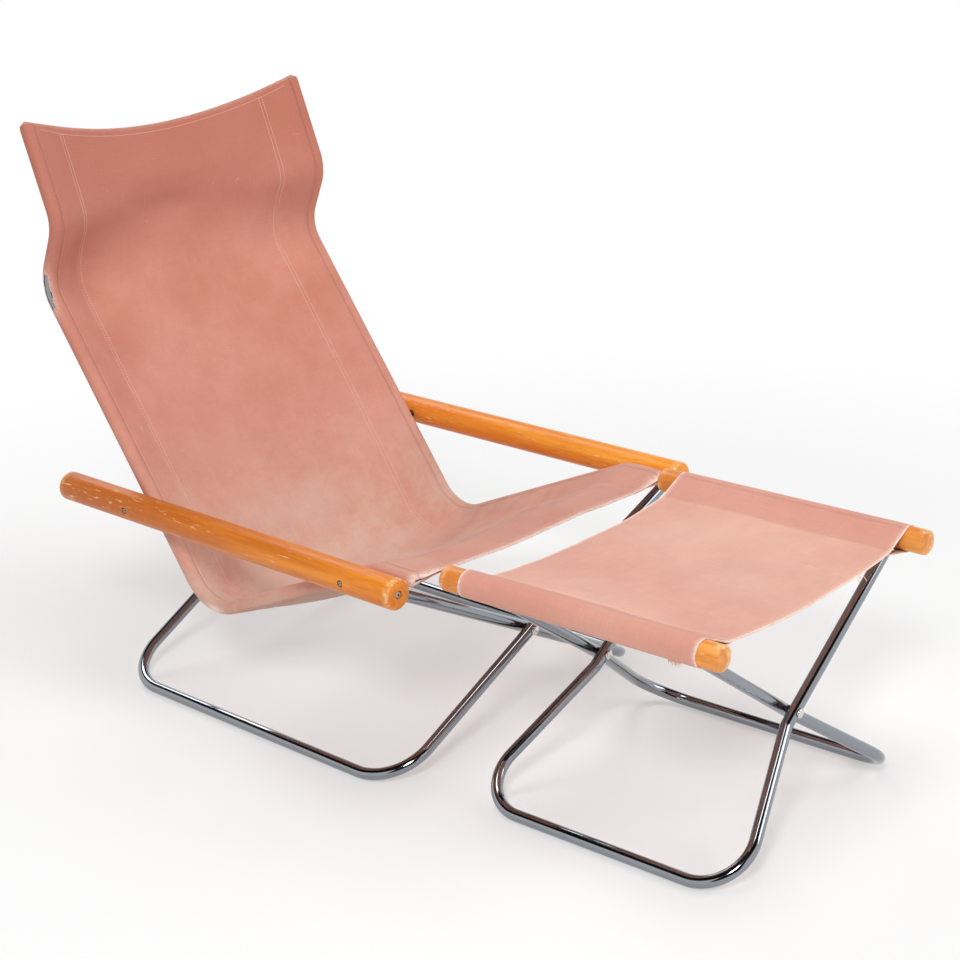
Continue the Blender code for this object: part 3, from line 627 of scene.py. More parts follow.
class Piece:
    """One piece under construction: a bmesh, then an object with its material, body and node."""

    def __init__(self, name: str) -> None:
        self.name = name
        self.form = bmesh.new()
        self.layer = self.form.loops.layers.uv.new("cloth")
        self.worn = self.form.verts.layers.float.new("worn")

    def tube(self, path: list[Vector], normal: Vector, radius: float, wall: float, sides: int = 28) -> None:
        """Sweep a round tube along a path that lies in a plane, with a pocket in each end.

        Args:
            path: the centre line.
            normal: the normal of the path's plane.
            radius: the outer radius.
            wall: the wall thickness, seen at the open ends.
            sides: the number of sides.
        """
        pocket = 0.35
        centres = [path[0].lerp(path[1], pocket), path[0], *path, path[-1], path[-1].lerp(path[-2], pocket)]
        final = len(centres) - 1
        loops = []
        for index, centre in enumerate(centres):
            spot = min(max(index - 2, 0), len(path) - 1)
            into = path[max(spot, 1)] - path[max(spot, 1) - 1]
            away = path[min(spot + 1, len(path) - 1)] - path[min(spot, len(path) - 2)]
            forward = (into.normalized() + away.normalized()).normalized()
            frame = Matrix((forward.cross(normal), normal, -forward)).transposed().to_4x4()
            made = bmesh.ops.create_circle(
                self.form,
                cap_ends=index in (0, final),
                radius=radius if 2 <= index <= final - 2 else radius - wall,
                segments=sides,
                matrix=Matrix.Translation(centre) @ frame,
            )
            loops.append(list({edge for vert in made["verts"] for edge in vert.link_edges}))
        for low, high in zip(loops, loops[1:]):
            bmesh.ops.bridge_loops(self.form, edges=low + high)
        bmesh.ops.recalc_face_normals(self.form, faces=self.form.faces)

    def turned(self, profile: Outline, place: Matrix, segments: int = 32, bright: float = 0.0) -> None:
        """Spin a profile of radius and height round the local Z axis and put it in place.

        Args:
            profile: the outline; it is closed by itself where its ends aren't on the axis.
            place: the transform to the shared frame.
            segments: steps of the spin.
            bright: radius inside which the worn colour is painted, as painted light on a screw head's centre
                that leaves its rim dark as the shade of its recess.
        """
        points = [self.form.verts.new((radius, 0.0, height)) for radius, height in profile]
        pairs = list(zip(points, points[1:]))
        if profile[0][0] > 1e-6:
            pairs.append((points[-1], points[0]))
        edges = [self.form.edges.new(pair) for pair in pairs]
        bmesh.ops.spin(
            self.form,
            geom=points + edges,
            cent=(0, 0, 0),
            axis=(0, 0, 1),
            angle=math.tau,
            steps=segments,
            use_merge=True,
        )
        bmesh.ops.remove_doubles(self.form, verts=self.form.verts, dist=1e-6)
        bmesh.ops.recalc_face_normals(self.form, faces=self.form.faces)
        # Painted light: the centre of a screw head takes the light worn colour and its rim stays dark, as if
        # shaded by its recess.
        for vert in self.form.verts:
            vert[self.worn] = float(math.hypot(vert.co.x, vert.co.y) < bright)
        bmesh.ops.transform(self.form, matrix=place, verts=self.form.verts)

    def cloth(
        self,
        columns: Sequence[float],
        rows: Sequence[float],
        place: Callable[[float, float], tuple[Vector, Point2, float]],
        gone: Callable[[float, float], bool] | None = None,
    ) -> None:
        """Lay a grid on a surface.

        Args:
            columns: the values across.
            rows: the values along.
            place: gives the point, the UV in metres and the share of wear at a pair of values.
            gone: says where the cloth is worn through.
        """
        across, down = len(columns) - 1, len(rows) - 1
        made = bmesh.ops.create_grid(self.form, x_segments=across, y_segments=down, size=1.0)
        found: dict[bmesh.types.BMVert, Point2] = {}
        holes = []
        for vert in made["verts"]:
            column = columns[round((vert.co.x + 1) / 2 * across)]
            row = rows[round((vert.co.y + 1) / 2 * down)]
            vert.co, found[vert], vert[self.worn] = place(column, row)
            if gone and gone(column, row):
                holes.append(vert)
        for face in {face for vert in made["verts"] for face in vert.link_faces}:
            for loop in face.loops:
                loop[self.layer].uv = found[loop.vert]
        if holes:
            bmesh.ops.delete(self.form, geom=holes, context="VERTS")

    def stitches(self, places: Sequence[Matrix]) -> None:
        """Add thread stitches, each a long bead, built in small lots because large ones are slow.

        Args:
            places: the transform of each bead, with its run along local Z and its outside along local Y.
        """
        size = Matrix.Diagonal((0.00042, 0.00028, 0.0015, 1.0))
        lot = 40
        for start in range(0, len(places), lot):
            part = bmesh.new()
            for place in places[start : start + lot]:
                bmesh.ops.create_uvsphere(part, u_segments=6, v_segments=4, radius=1.0, matrix=place @ size)
            mesh = mesh_of(part, "beads")
            self.form.from_mesh(mesh)
            bpy.data.meshes.remove(mesh)

    def done(
        self,
        material: Material,
        body: Body | None,
        nodes: Sequence[str] = (),
        sharp_deg: float = 35.0,
        solid: float = 0.0,
    ) -> bpy.types.Object:
        """Turn the bmesh into an object.

        Args:
            material: its finish.
            body: the body that it rides on, or None to leave it unattached.
            nodes: the CAD nodes that it stands for.
            sharp_deg: edges that turn more than this are drawn sharp.
            solid: thickness to give to an open sheet.

        Returns:
            The object.
        """
        mesh = mesh_of(self.form, self.name)
        shade(mesh, sharp_deg)
        thing = add_object(self.name, mesh)
        mesh.materials.append(material)
        if solid:
            shell = thing.modifiers.new("thickness", "SOLIDIFY")
            shell.thickness = solid
            shell.offset = 0.0
        if body is not None:
            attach(thing, body.value)
        if nodes:
            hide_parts(*nodes)
        LOG.info("%s: %d faces", self.name, len(mesh.polygons))
        return thing


def carve(thing: bpy.types.Object, cutters: Sequence[bpy.types.Mesh], sharp_deg: float = 0.0) -> None:
    """Subtract closed meshes from an object for good.

    Args:
        thing: the object.
        cutters: meshes whose faces point outwards.
        sharp_deg: edges that turn more than this are drawn sharp; 0 leaves the shading.
    """
    helpers = [add_object("cutter", cutter) for cutter in cutters]
    for helper in helpers:
        modifier = thing.modifiers.new("cut", "BOOLEAN")
        modifier.operation, modifier.solver, modifier.object = "DIFFERENCE", "EXACT", helper
    bpy.context.view_layer.update()
    graph = bpy.context.evaluated_depsgraph_get()
    cut = bpy.data.meshes.new_from_object(thing.evaluated_get(graph), depsgraph=graph)
    thing.modifiers.clear()
    thing.data = cut
    cut.name = thing.name
    for helper in helpers:
        bpy.data.objects.remove(helper)
    if sharp_deg:
        shade(cut, sharp_deg)


def rod_mesh(profile: Outline, place: Matrix) -> bpy.types.Mesh:
    """A turned cutter as a mesh."""
    piece = Piece("rod")
    piece.turned(profile, place)
    return mesh_of(piece.form, "rod")


def prism_mesh(outline: Outline, low: float, high: float) -> bpy.types.Mesh:
    """An outline in X and Z extruded along Y as a mesh."""
    form = bmesh.new()
    face = form.faces.new([form.verts.new((x, low, z)) for x, z in outline])
    made = bmesh.ops.extrude_face_region(form, geom=[face])
    moved = [item for item in made["geom"] if isinstance(item, bmesh.types.BMVert)]
    bmesh.ops.translate(form, vec=(0.0, high - low, 0.0), verts=moved)
    bmesh.ops.recalc_face_normals(form, faces=form.faces)
    return mesh_of(form, "prism")


# Frames of bent tube


@dataclass(frozen=True)
class LegFrame:
    """One bent tube: a floor rail with two legs that cross the other frame and end in a wooden bar."""

    side: float
    stagger: float
    bar_x: float
    bar_height: float
    pivot_height: float
    top_half: float
    cross_half: float
    foot_half: float
    splay_drop: float
    bend: float
    radius: float = 0.0085
    overrun: float = 0.006

    @property
    def slope(self) -> float:
        """Angle of the legs above the floor."""
        return math.atan2(self.bar_height - self.pivot_height, self.bar_x)

    @property
    def upper(self) -> float:
        """Leg length from the pivot to the bar's axis."""
        return math.hypot(self.bar_x, self.bar_height - self.pivot_height)

    def at(self, along_leg: float, y: float) -> Vector:
        """The point at a distance up the leg and a Y."""
        x = self.side * along_leg * math.cos(self.slope)
        return Vector((x, y + self.stagger, self.pivot_height + along_leg * math.sin(self.slope)))

    def normal(self) -> Vector:
        """The upward normal of the frame's plane."""
        return Vector((-self.side * math.sin(self.slope), 0.0, math.cos(self.slope)))

    def path(self) -> list[Vector]:
        """The centre line from the rear leg's top round the rail to the front leg's top."""
        lower = (self.pivot_height - self.radius) / math.sin(self.slope)
        flat, straight, kink, soft = 0.012, 0.030, 0.03, 0.16
        rear = [
            (self.upper + self.overrun, self.top_half),
            (self.upper - straight, self.top_half),
            (flat, self.cross_half),
            (-max(flat, self.splay_drop), self.cross_half),
            (-lower, self.foot_half),
        ]
        corners = rear + [(s, -y) for s, y in reversed(rear)]
        radii = [soft, soft, kink if self.splay_drop else soft, self.bend]
        return [self.at(s, y) for s, y in fillet(corners, radii + radii[::-1])]


def crossed_frames(stagger: float, **sizes: float) -> tuple[LegFrame, LegFrame]:
    """Two frames that mirror each other and cross.

    Args:
        stagger: how far each is moved along Y, so that they pass beside each other.
        sizes: the other sizes of a LegFrame.

    Returns:
        The frame whose bar is on +X and the one whose bar is on -X.
    """
    return LegFrame(1.0, -stagger, **sizes), LegFrame(-1.0, stagger, **sizes)


@dataclass(frozen=True)
class PivotSize:
    """Sizes of a pivot bolt, its nut and its washer."""

    shank: float = 0.003
    bore: float = 0.0032
    head: float = 0.0067
    head_height: float = 0.0038
    head_rim: float = 0.0008
    nut: float = 0.0061
    nut_rim: float = 0.0022
    nut_crown: float = 0.004
    washer: float = 0.006
    play: float = 0.0003

    def outlines(self, reach: float, spread: float) -> dict[str, list[Point2]]:
        """Outlines as radius and height, with the front tube's axis at height 0.

        Args:
            reach: the tubes' radius.
            spread: the distance between the two tubes' axes.

        Returns:
            The outline of the bolt, the nut and the washer.
        """
        start, stop = -reach - self.play, spread + reach + self.play
        turns = evenly(8, 0.0, math.pi / 2)
        low, crown = start - self.head_rim, self.head_height - self.head_rim
        dome = [(self.head * math.sin(turn), low - crown * math.cos(turn)) for turn in turns[1:]]
        high = stop + self.nut_rim
        cap = [(self.nut * math.cos(turn), high + self.nut_crown * math.sin(turn)) for turn in turns[:8]]
        tip, seat = stop + 0.004, stop + 0.0045
        bolt = [(0.0, start - self.head_height), *dome, (self.head, start), (self.shank, start)]
        nut = [(0.0, seat), (self.bore, seat), (self.bore, stop), (self.nut, stop), *cap]
        half = (spread - 2 * reach) / 2 - 0.0001
        washer = ring(self.bore, self.washer, spread / 2 - half, spread / 2 + half)
        bolt += [(self.shank, tip), (0.0, tip)]
        nut.append((0.0, high + self.nut_crown))
        return {"bolt": bolt, "nut": nut, "washer": washer}


@dataclass(frozen=True)
class FramePair:
    """Two crossed frames with their pivots, for the chair or the stool."""

    prefix: str
    frames: tuple[LegFrame, LegFrame]
    bodies: tuple[Body, Body]
    place: Matrix

    def build(self, chrome: Material, bright: Material, plastic: Material) -> None:
        """Make the tubes, bolts, nuts and washers.

        Args:
            chrome: finish of the tubes.
            bright: finish of the bolts and nuts.
            plastic: finish of the washers.
        """
        turn = self.place.to_3x3()
        for letter, frame, body in zip("ab", self.frames, self.bodies):
            piece = Piece(f"{self.prefix}_tube_{letter}")
            piece.tube([self.place @ p for p in frame.path()], turn @ frame.normal(), frame.radius, TUBE_WALL)
            piece.done(chrome, body, [f"{self.prefix}_frame_{letter}"], 60.0)
        front = self.frames[0]
        outlines = PivotSize().outlines(front.radius, self.frames[1].stagger - front.stagger)
        looks = {"bolt": (bright, Slot.BOLT), "nut": (bright, Slot.BOLT), "washer": (plastic, Slot.PLASTIC)}
        for end, sign in ENDS:
            spot = Vector((0.0, sign * front.cross_half + front.stagger, front.pivot_height))
            for word, (finish, slot) in looks.items():
                piece = Piece(f"{self.prefix}_{word}_{end}")
                piece.turned(outlines[word], self.place @ along(ALONG_Y, spot))
                piece.done(finish, self.bodies[0], [f"{self.prefix}_pivot_{word}_{end}"], 30.0)


# Chair


@dataclass(frozen=True)
class ChairSize:
    """Sizes of the chair in metres, with Y from the middle of the arms."""

    arm_x: float = 0.299
    arm_height: float = 0.310
    arm_half: float = 0.348
    arm_radius: float = 0.0215
    arm_edge: float = 0.0045
    side_x: float = 0.263
    tube: float = 0.0085
    screw: float = 0.0025
    screw_bore: float = 0.0028
    screw_past: float = 0.0212  # of an end screw past the leg's axis
    bore_past: float = 0.0215
    end_recess: float = 0.0057
    side_recess: float = 0.0049
    spacer: float = 0.0060
    stagger: float = 0.0095
    pivot_height: float = 0.153
    top_half: float = 0.3209
    cross_half: float = 0.2988
    foot_half: float = 0.292
    foot_bend: float = 0.075
    fold_deg: float = 54.0
    fold_travel: float = 0.5005
    cloth: float = 0.0010
    wrap: float = 0.0094
    seam: float = 0.060
    split: float = 0.0095
    sag_top: float = 0.039
    dip_top: float = 0.030
    sag_back: float = 0.033
    sag_seat: float = 0.050
    sag_front: float = 0.004
    close: float = 0.009
    seat_front: Point2 = (-0.275, 0.317)
    seat_low: Point2 = (0.082, 0.160)
    shoulder: Point2 = (0.410, 0.603)
    neck: Point2 = (0.369, 0.698)
    top: Point2 = (0.424, 0.836)

    def side_line(self, front_run: float, top_run: float) -> list[Point2]:
        """The side tube's centre line as Y and Z, from the front end to the top."""
        top, neck = Vector(self.top), Vector(self.neck)
        end = top + (top - neck).normalized() * top_run
        start = (-0.336 - front_run, self.seat_front[1])
        corners = [start, self.seat_front, self.seat_low, self.shoulder, self.neck, (end.x, end.y)]
        return fillet(corners, [0.05, 0.07, 0.06, 0.06])

    def screw_stations(self) -> tuple[float, float]:
        """The places along Y, front and rear, where the side tubes cross the arms' axes."""
        low_y, low_z = self.seat_low
        rise = self.arm_height - low_z
        front, rear = (low_y + (y - low_y) * rise / (z - low_z) for y, z in (self.seat_front, self.shoulder))
        return front, rear


class SlingShape:
    """The surface that the sling lies on, by distance along the side tubes and share across."""

    STRIP = 0.18  # share of the roll's piece that each layer beside the tube takes

    def __init__(self, size: ChairSize, chair_y: float) -> None:
        self.size = size
        self.chair_y = chair_y
        self.line = [Vector(point) for point in size.side_line(0.008, 0.009)]
        self.lengths = [0.0]
        for before, here in zip(self.line, self.line[1:]):
            self.lengths.append(self.lengths[-1] + (here - before).length)
        self.total = self.lengths[-1]
        self.half = size.side_x
        self.inner = self.half - size.seam
        self.seam_share = self.inner / self.half

    def centre(self, v: float) -> Vector:
        """The tube's centre at a distance from the cloth's front end, as Y and Z."""
        v = min(max(v, 0.0), self.total)
        index = min(max(bisect_left(self.lengths, v), 1), len(self.line) - 1)
        span = self.lengths[index] - self.lengths[index - 1]
        return self.line[index - 1].lerp(self.line[index], (v - self.lengths[index - 1]) / span)

    def facing(self, v: float, reach: float) -> tuple[Vector, Vector]:
        """The line's direction, averaged over a reach each way, and the cloth's front, both as Y and Z."""
        low, high = max(v - reach, 0.0), min(v + reach, self.total)
        ahead = (self.centre(high) - self.centre(low)).normalized()
        return ahead, Vector((-ahead.y, ahead.x))

    def sag(self, v: float) -> float:
        """Depth of the middle of the cloth below the line between the tubes."""
        size = self.size
        stops = [(0.0, size.sag_front), (0.17, size.sag_front * 6.5), (0.36, size.sag_seat)]
        return stops_at(v / self.total, [*stops, (0.62, size.sag_back), (1.0, size.sag_top)])

    def dip(self, v: float) -> float:
        """How far the middle of the cloth hangs back along the line, towards the top edge."""
        return stops_at(v / self.total, [(0.0, 0.0), (0.72, 0.0), (1.0, self.size.dip_top)])

    def roll(self, v: float) -> float:
        """Radius of the cloth round the tube, drawn in over the tube's two ends."""
        close = self.size.close
        share = min(1.0, max(0.0, (v - self.total) / close + 1, 1 - v / close))
        return max(0.0012, self.size.wrap * math.sqrt(1 - share * share))

    def on_tube(self, side: float, v: float, angle: float) -> Vector:
        """A point of the cloth round the tube, by its angle from inward."""
        roll = self.roll(v)
        spot = self.centre(v) + self.facing(v, 0.004)[1] * (roll * math.sin(angle))
        return Vector((side * (self.half - roll * math.cos(angle)), spot.x + self.chair_y, spot.y))

    def middle(self, v: float, share: float) -> Vector:
        """The line of the cloth: the tube's at the seams, evened out at the neck in the middle."""
        even = smooth(0.66, 0.76, v / self.total) * (1 - share * share)
        if even <= 0.0:
            return self.centre(v)
        reach = min(0.10, self.total - v)
        spots = [self.centre(spot) for spot in evenly(8, v - reach, v + reach)]
        return self.centre(v).lerp(sum(spots, Vector((0.0, 0.0))) / len(spots), even)

    def seam_depth(self, v: float) -> float:
        """Depth of the cloth at the seam beside the tube."""
        return self.sag(v) * 2 * self.size.seam / (self.inner + 2 * self.size.seam)

    def leave_angles(self, v: float) -> tuple[float, float]:
        """Angles round the tube where the front and the back layer leave it for the seam."""
        seam, depth, roll = self.size.seam, self.seam_depth(v), self.roll(v)
        tilt = math.atan2(-depth, seam)
        spread = math.acos(min(1.0, roll / math.hypot(seam, depth)))
        return tilt + spread, tilt - spread

    def cut(self, start: float, end: float) -> float:
        """Share of the way between two distances off the middle where a layer passes to the roll's piece."""
        return (self.half - self.size.split - start) / (end - start)

    def rim(self, side: float, v: float, back: bool) -> Vector:
        """The point where the front or the back layer leaves the tube."""
        return self.on_tube(side, v, self.leave_angles(v)[int(back)])

    def pucker(self, share: float, v: float) -> float:
        """Height of the folds of the cloth."""
        edge = 1.0 - abs(share)
        free = smooth(0.0, 0.16, edge)
        broad = noise.noise(Vector((share * 1.7, v * 2.6, 0.3))) * 0.0045 * free
        fine = noise.noise(Vector((share * 5.0 + v * 2.0, v * 16.0, 4.1))) * 0.0009 * free
        seam = abs(abs(share) - self.seam_share)
        gathers = noise.noise(Vector((share * 9.0, v * 62.0, 9.7))) * 0.0008 * math.exp(-((seam / 0.06) ** 2))
        creases = 0.0
        for at, width, height in ((0.735, 0.030, 0.0012), (0.80, 0.040, -0.0012), (0.365, 0.050, -0.002)):
            bend = (v / self.total - at - 0.012 * math.sin(share * 5.0)) / width
            creases += height * math.exp(-bend * bend) * smooth(0.0, 0.4, edge)
        return broad + fine + gathers + creases

    def panel(self, share: float, v: float) -> Vector:
        """A point of the front layer, from one tube (-1) to the other (1)."""
        side = 1.0 if share >= 0 else -1.0
        reach = abs(share)
        depth = self.seam_depth(v)
        ahead, face = self.facing(v, 0.05)
        bump = self.pucker(share, v)
        if reach <= self.seam_share:
            x = self.inner * reach / self.seam_share
            curve = 1 - (x / self.inner) ** 2
            sunk = depth + (self.sag(v) - depth) * curve
            pull = self.dip(v) * (1 - (x / self.half) ** 2)
            spot = self.middle(v, x / self.inner) - face * (sunk - bump) - ahead * pull
            return Vector((side * x, spot.x + self.chair_y, spot.y))
        pull = self.dip(v) * (1 - (self.inner / self.half) ** 2)
        spot = self.centre(v) - face * depth - ahead * pull
        seam = Vector((side * self.inner, spot.x + self.chair_y, spot.y))
        rim = self.rim(side, v, False)
        blend = (reach - self.seam_share) / (1 - self.seam_share) * self.cut(self.inner, abs(rim.x))
        return seam.lerp(rim, blend) + Vector((0.0, face.x, face.y)) * bump

    def behind(self, share: float, v: float, back: float) -> Vector:
        """A point of the panel moved back through the cloth."""
        return self.panel(share, v) - Vector((0.0, *self.facing(v, 0.05)[1])) * back

    def flap(self, side: float, blend: float, v: float) -> Vector:
        """A point of the back layer, from the tube (0) to just past the seam (1)."""
        rim, end, _ = self.flap_line(side, v)
        wave = noise.noise(Vector((blend * 2.0, v * 14.0, side * 5.0))) * 0.0012 * math.sin(math.pi * blend)
        return rim.lerp(end, blend) - Vector((0.0, *self.facing(v, 0.03)[1])) * wave

    def flap_line(self, side: float, v: float) -> tuple[Vector, Vector, float]:
        """The back layer's start and end, and the share of its way that belongs to the roll's piece."""
        share = side * (self.inner - 0.010) / self.inner * self.seam_share
        rim, end = self.rim(side, v, True), self.behind(share, v, LAYER_GAP)
        return rim, end, self.cut(abs(rim.x), abs(end.x))

    def round_tube(self, side: float, share: float, v: float) -> Vector:
        """A point of the roll: a strip of the front layer, the way round and a strip of the back layer."""
        strip = self.STRIP
        if share < strip:
            edge, rim = self.panel(side, v), self.rim(side, v, False)
            return edge.lerp(rim, share / strip)
        if share > 1 - strip:
            return self.flap(side, self.flap_line(side, v)[2] * (share - 1 + strip) / strip, v)
        front, back = self.leave_angles(v)
        return self.on_tube(side, v, front + (back + math.tau - front) * (share - strip) / (1 - 2 * strip))


class Chair:
    """The chair: frames, arms, side tubes, sling and its stitching."""

    END_HEAD = ((0.0, 0.0006), (0.0030, 0.0007), (0.0046, 0.0011), (0.0052, 0.0017), (0.0052, 0.0027))
    SIDE_HEAD = ((0.0044, 0.0001), (0.0044, 0.0013), (0.0036, 0.0019), (0.0018, 0.0022), (0.0, 0.0023))
    # Radius of painted light on a screw head's centre; the rim around it stays dark as the shade of its
    # recess.
    LIT_HEAD_RADIUS = 0.0032
    HEM = (0.0005, 0.0012, 0.004, 0.009, 0.014)
    HOLE_AT, RUB_AT = 0.787, 0.348  # shares of the near sleeve's length

    def __init__(self, finishes: Finishes) -> None:
        self.size = size = ChairSize()
        low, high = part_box("arm_left")
        self.y = (low[1] + high[1]) / 2
        self.frames = crossed_frames(
            size.stagger,
            bar_x=size.arm_x,
            bar_height=size.arm_height,
            pivot_height=size.pivot_height,
            top_half=size.top_half,
            cross_half=size.cross_half,
            foot_half=size.foot_half,
            splay_drop=0.0,
            bend=size.foot_bend,
        )
        self.place = Matrix.Translation((0.0, self.y, 0.0))
        self.shape = SlingShape(size, self.y)
        self.chrome = Chrome("chair_chrome").material(finishes)
        bright = Chrome("pivot_chrome", srgb(214, 212, 208), tarnish_amount=0.2, roughness=0.2)
        self.bright = bright.material(finishes)
        # Dark bronze, with a light colour that is also painted light on the centres of the screw heads.
        screw = Plain("bronzed_screws", srgb(84, 60, 48), srgb(222, 212, 202), 0.6, 0.42)
        self.screw = screw.material(finishes)
        self.plastic = Plain("black_spacers", srgb(38, 35, 33), srgb(82, 78, 74), 0.0, 0.5).material(finishes)
        thread = Plain("sling_thread", srgb(226, 196, 182), srgb(200, 160, 144), 0.0, 0.85)
        self.thread = thread.material(finishes)
        canvas = Canvas(
            "sling_canvas",
            fresh=srgb(198, 128, 109),
            faded=srgb(214, 151, 133),
            soil=srgb(218, 188, 172),
            soil_low=0.14,
            soil_high=0.40,
            soil_amount=0.85,
            # Painted shade on the upper back and head, darker towards the top.
            painted_shade=srgb(172, 96, 78),
            top_shade=0.62,
        )
        self.canvas = canvas.material(finishes)
        self.finishes = finishes

    def build(self) -> None:
        """Make every piece of the chair."""
        pair = FramePair("chair", self.frames, (Body.LEGS_A, Body.LEGS_B), self.place)
        pair.build(self.chrome, self.bright, self.plastic)
        for word, frame, body in zip(("left", "right"), self.frames, (Body.LEFT, Body.RIGHT)):
            self.arm(word, frame, body)
            self.hardware(word, frame, body)
            self.side_tube(word, frame.side, body)
            self.sleeve(word, frame.side, body)
        self.panel()
        self.stitching()

    def slot_outline(self, side: float, slope: float) -> list[Point2]:
        """The slot in an arm that clears a leg top from open to folded."""
        wide, pocket, wedge = 0.0093, 0.0116, 0.047
        open_angle = math.pi + slope
        shut_angle = open_angle + math.radians(self.size.fold_deg)
        swing = math.atan2(math.sqrt(pocket * pocket - wide * wide), wide)
        first, last = shut_angle + math.pi / 2 - swing, open_angle - math.pi / 2 + swing + math.tau
        turns = evenly(20, first, last)
        outline = [(pocket * math.cos(turn), pocket * math.sin(turn)) for turn in turns]
        far = self.size.arm_radius * 1.8
        middle = (open_angle + shut_angle) / 2
        mouth = []
        for angle, turn in ((open_angle, -math.pi / 2), (shut_angle, math.pi / 2)):
            x, z = (far * way(angle) + wide * way(angle + turn) for way in (math.cos, math.sin))
            mouth.append((x, z))
        outline += [mouth[0], (wedge * math.cos(middle), wedge * math.sin(middle)), mouth[1]]
        return [(side * (self.size.arm_x + x), self.size.arm_height + z) for x, z in outline]

    def arm_spot(self, side: float, y: float) -> Vector:
        """A point on an arm's axis."""
        return Vector((side * self.size.arm_x, self.y + y, self.size.arm_height))

    def tops(self, frame: LegFrame) -> list[float]:
        """The places along Y of a frame's leg tops, front and rear."""
        return [self.y + sign * self.size.top_half + frame.stagger for _, sign in ENDS]

    def arm(self, word: str, frame: LegFrame, body: Body) -> None:
        """One round wooden arm with its slots and screw holes."""
        size, side = self.size, frame.side
        half, radius = size.arm_half, size.arm_radius
        piece = Piece(f"wooden_arm_{word}")
        profile = eased_bar(half, radius, size.arm_edge, 12, [radius * 0.5])
        piece.turned(profile, along(ALONG_Y, self.arm_spot(side, 0.0)), 72)
        # Painted light and shade: the near arm gets darker tones than the far one, though both are the same
        # wood.
        near = (srgb(238, 146, 48), srgb(210, 114, 28), srgb(184, 94, 24))
        far = (srgb(252, 172, 62), srgb(232, 136, 40), srgb(218, 122, 38))
        ends, centre = (self.y - half, self.y + half), (side * size.arm_x, size.arm_height)
        tones = near if side < 0 else far
        varnish = Varnish(f"arm_varnish_{word}", *ends, centre, radius, *tones, scuffs=0.75)
        arm = piece.done(varnish.material(self.finishes), body, [f"arm_{word}"], 40.0)
        tops, outline, slot_half = self.tops(frame), self.slot_outline(side, frame.slope), 0.0095
        cutters = [prism_mesh(outline, top - slot_half, top + slot_half) for top in tops]
        recess, bore = size.end_recess, size.screw_bore
        for (_, sign), top in zip(ENDS, tops):
            length = abs(self.y + sign * half - top) + size.bore_past
            hole = [(0.0, -0.01), (recess, -0.01), (recess, 0.0030), (bore, 0.0034)]
            hole += [(bore, length), (0.0, length)]
            cutters.append(rod_mesh(hole, along(Vector((0, -sign, 0)), self.arm_spot(side, sign * half))))
        face, through, recess = radius - 0.0030, 0.03, size.side_recess
        hole = [(0.0, -through), (bore, -through), (bore, face)]
        hole += [(recess, face), (recess, through), (0.0, through)]
        for y in size.screw_stations():
            cutters.append(rod_mesh(hole, along(Vector((side, 0, 0)), self.arm_spot(side, y))))
        carve(arm, cutters, 40.0)

    def socket(self, thing: bpy.types.Object, place: Matrix) -> None:
        """Cut a cross recess into a screw head whose top lies at the local origin."""
        length, width, depth, skew = 0.0052, 0.0011, 0.0011, 0.4
        cutters = []
        for turn in (skew, math.pi / 2 + skew):
            form = bmesh.new()
            bmesh.ops.create_cube(form, size=1.0, matrix=Matrix.Diagonal((length, width, depth * 2, 1.0)))
            bmesh.ops.transform(form, matrix=place @ Matrix.Rotation(turn, 4, "Z"), verts=form.verts)
            cutters.append(mesh_of(form, "cross"))
        carve(thing, cutters, 35.0)

    def hardware(self, word: str, frame: LegFrame, body: Body) -> None:
        """The end screws, side screws and spacers of one arm."""
        size, side, shank = self.size, frame.side, self.size.screw
        for (end, sign), top in zip(ENDS, self.tops(frame)):
            start = self.arm_spot(side, sign * size.arm_half)
            length = abs(start.y - top) + size.screw_past
            place = along(Vector((0, -sign, 0)), start)
            profile = [*self.END_HEAD, (shank, 0.0028), (shank, length - 0.001), (0.0, length)]
            piece = Piece(f"arm_screw_{word}_{end}")
            piece.turned(profile, place, bright=self.LIT_HEAD_RADIUS)
            thing = piece.done(self.screw, body, [f"arm_{word}_end_screw_{end}"])
            self.socket(thing, place @ Matrix.Translation((0, 0, self.END_HEAD[0][1])))
        face = size.arm_radius - 0.0027
        reach = size.arm_x - size.side_x + 0.003
        inner, outer = size.side_x + size.tube + 0.0002 - size.arm_x, -size.arm_radius - 0.0002
        for (end, _), y in zip(ENDS, size.screw_stations()):
            place = along(Vector((side, 0, 0)), self.arm_spot(side, y))
            profile = [(0.0, -reach), (shank, 0.001 - reach), (shank, face)]
            profile += [(radius, face + height) for radius, height in self.SIDE_HEAD]
            piece = Piece(f"side_bolt_{word}_{end}")
            piece.turned(profile, place, bright=self.LIT_HEAD_RADIUS)
            thing = piece.done(self.screw, body, [f"side_screw_{word}_{end}"])
            self.socket(thing, place @ Matrix.Translation((0, 0, face + self.SIDE_HEAD[-1][1])))
            piece = Piece(f"spacer_{word}_{end}")
            piece.turned(ring(size.screw_bore, size.spacer, inner, outer), place)
            piece.done(self.plastic, body, [f"side_spacer_{word}_{end}"])

    def side_tube(self, word: str, side: float, body: Body) -> None:
        """One bent tube beside the seat and the back."""
        path = [Vector((side * self.size.side_x, y + self.y, z)) for y, z in self.size.side_line(0.0, 0.0)]
        piece = Piece(f"side_rail_{word}")
        piece.tube(path, Vector((1, 0, 0)), self.size.tube, TUBE_WALL)
        piece.done(self.chrome, body, [f"side_tube_{word}"], 60.0)

    def rows(self, hem: bool) -> list[float]:
        """Distances along the cloth; past either end they run back behind it as a hem."""
        rows = evenly(230, 0.0, self.shape.total)
        return with_hems(rows, self.HEM) if hem else rows

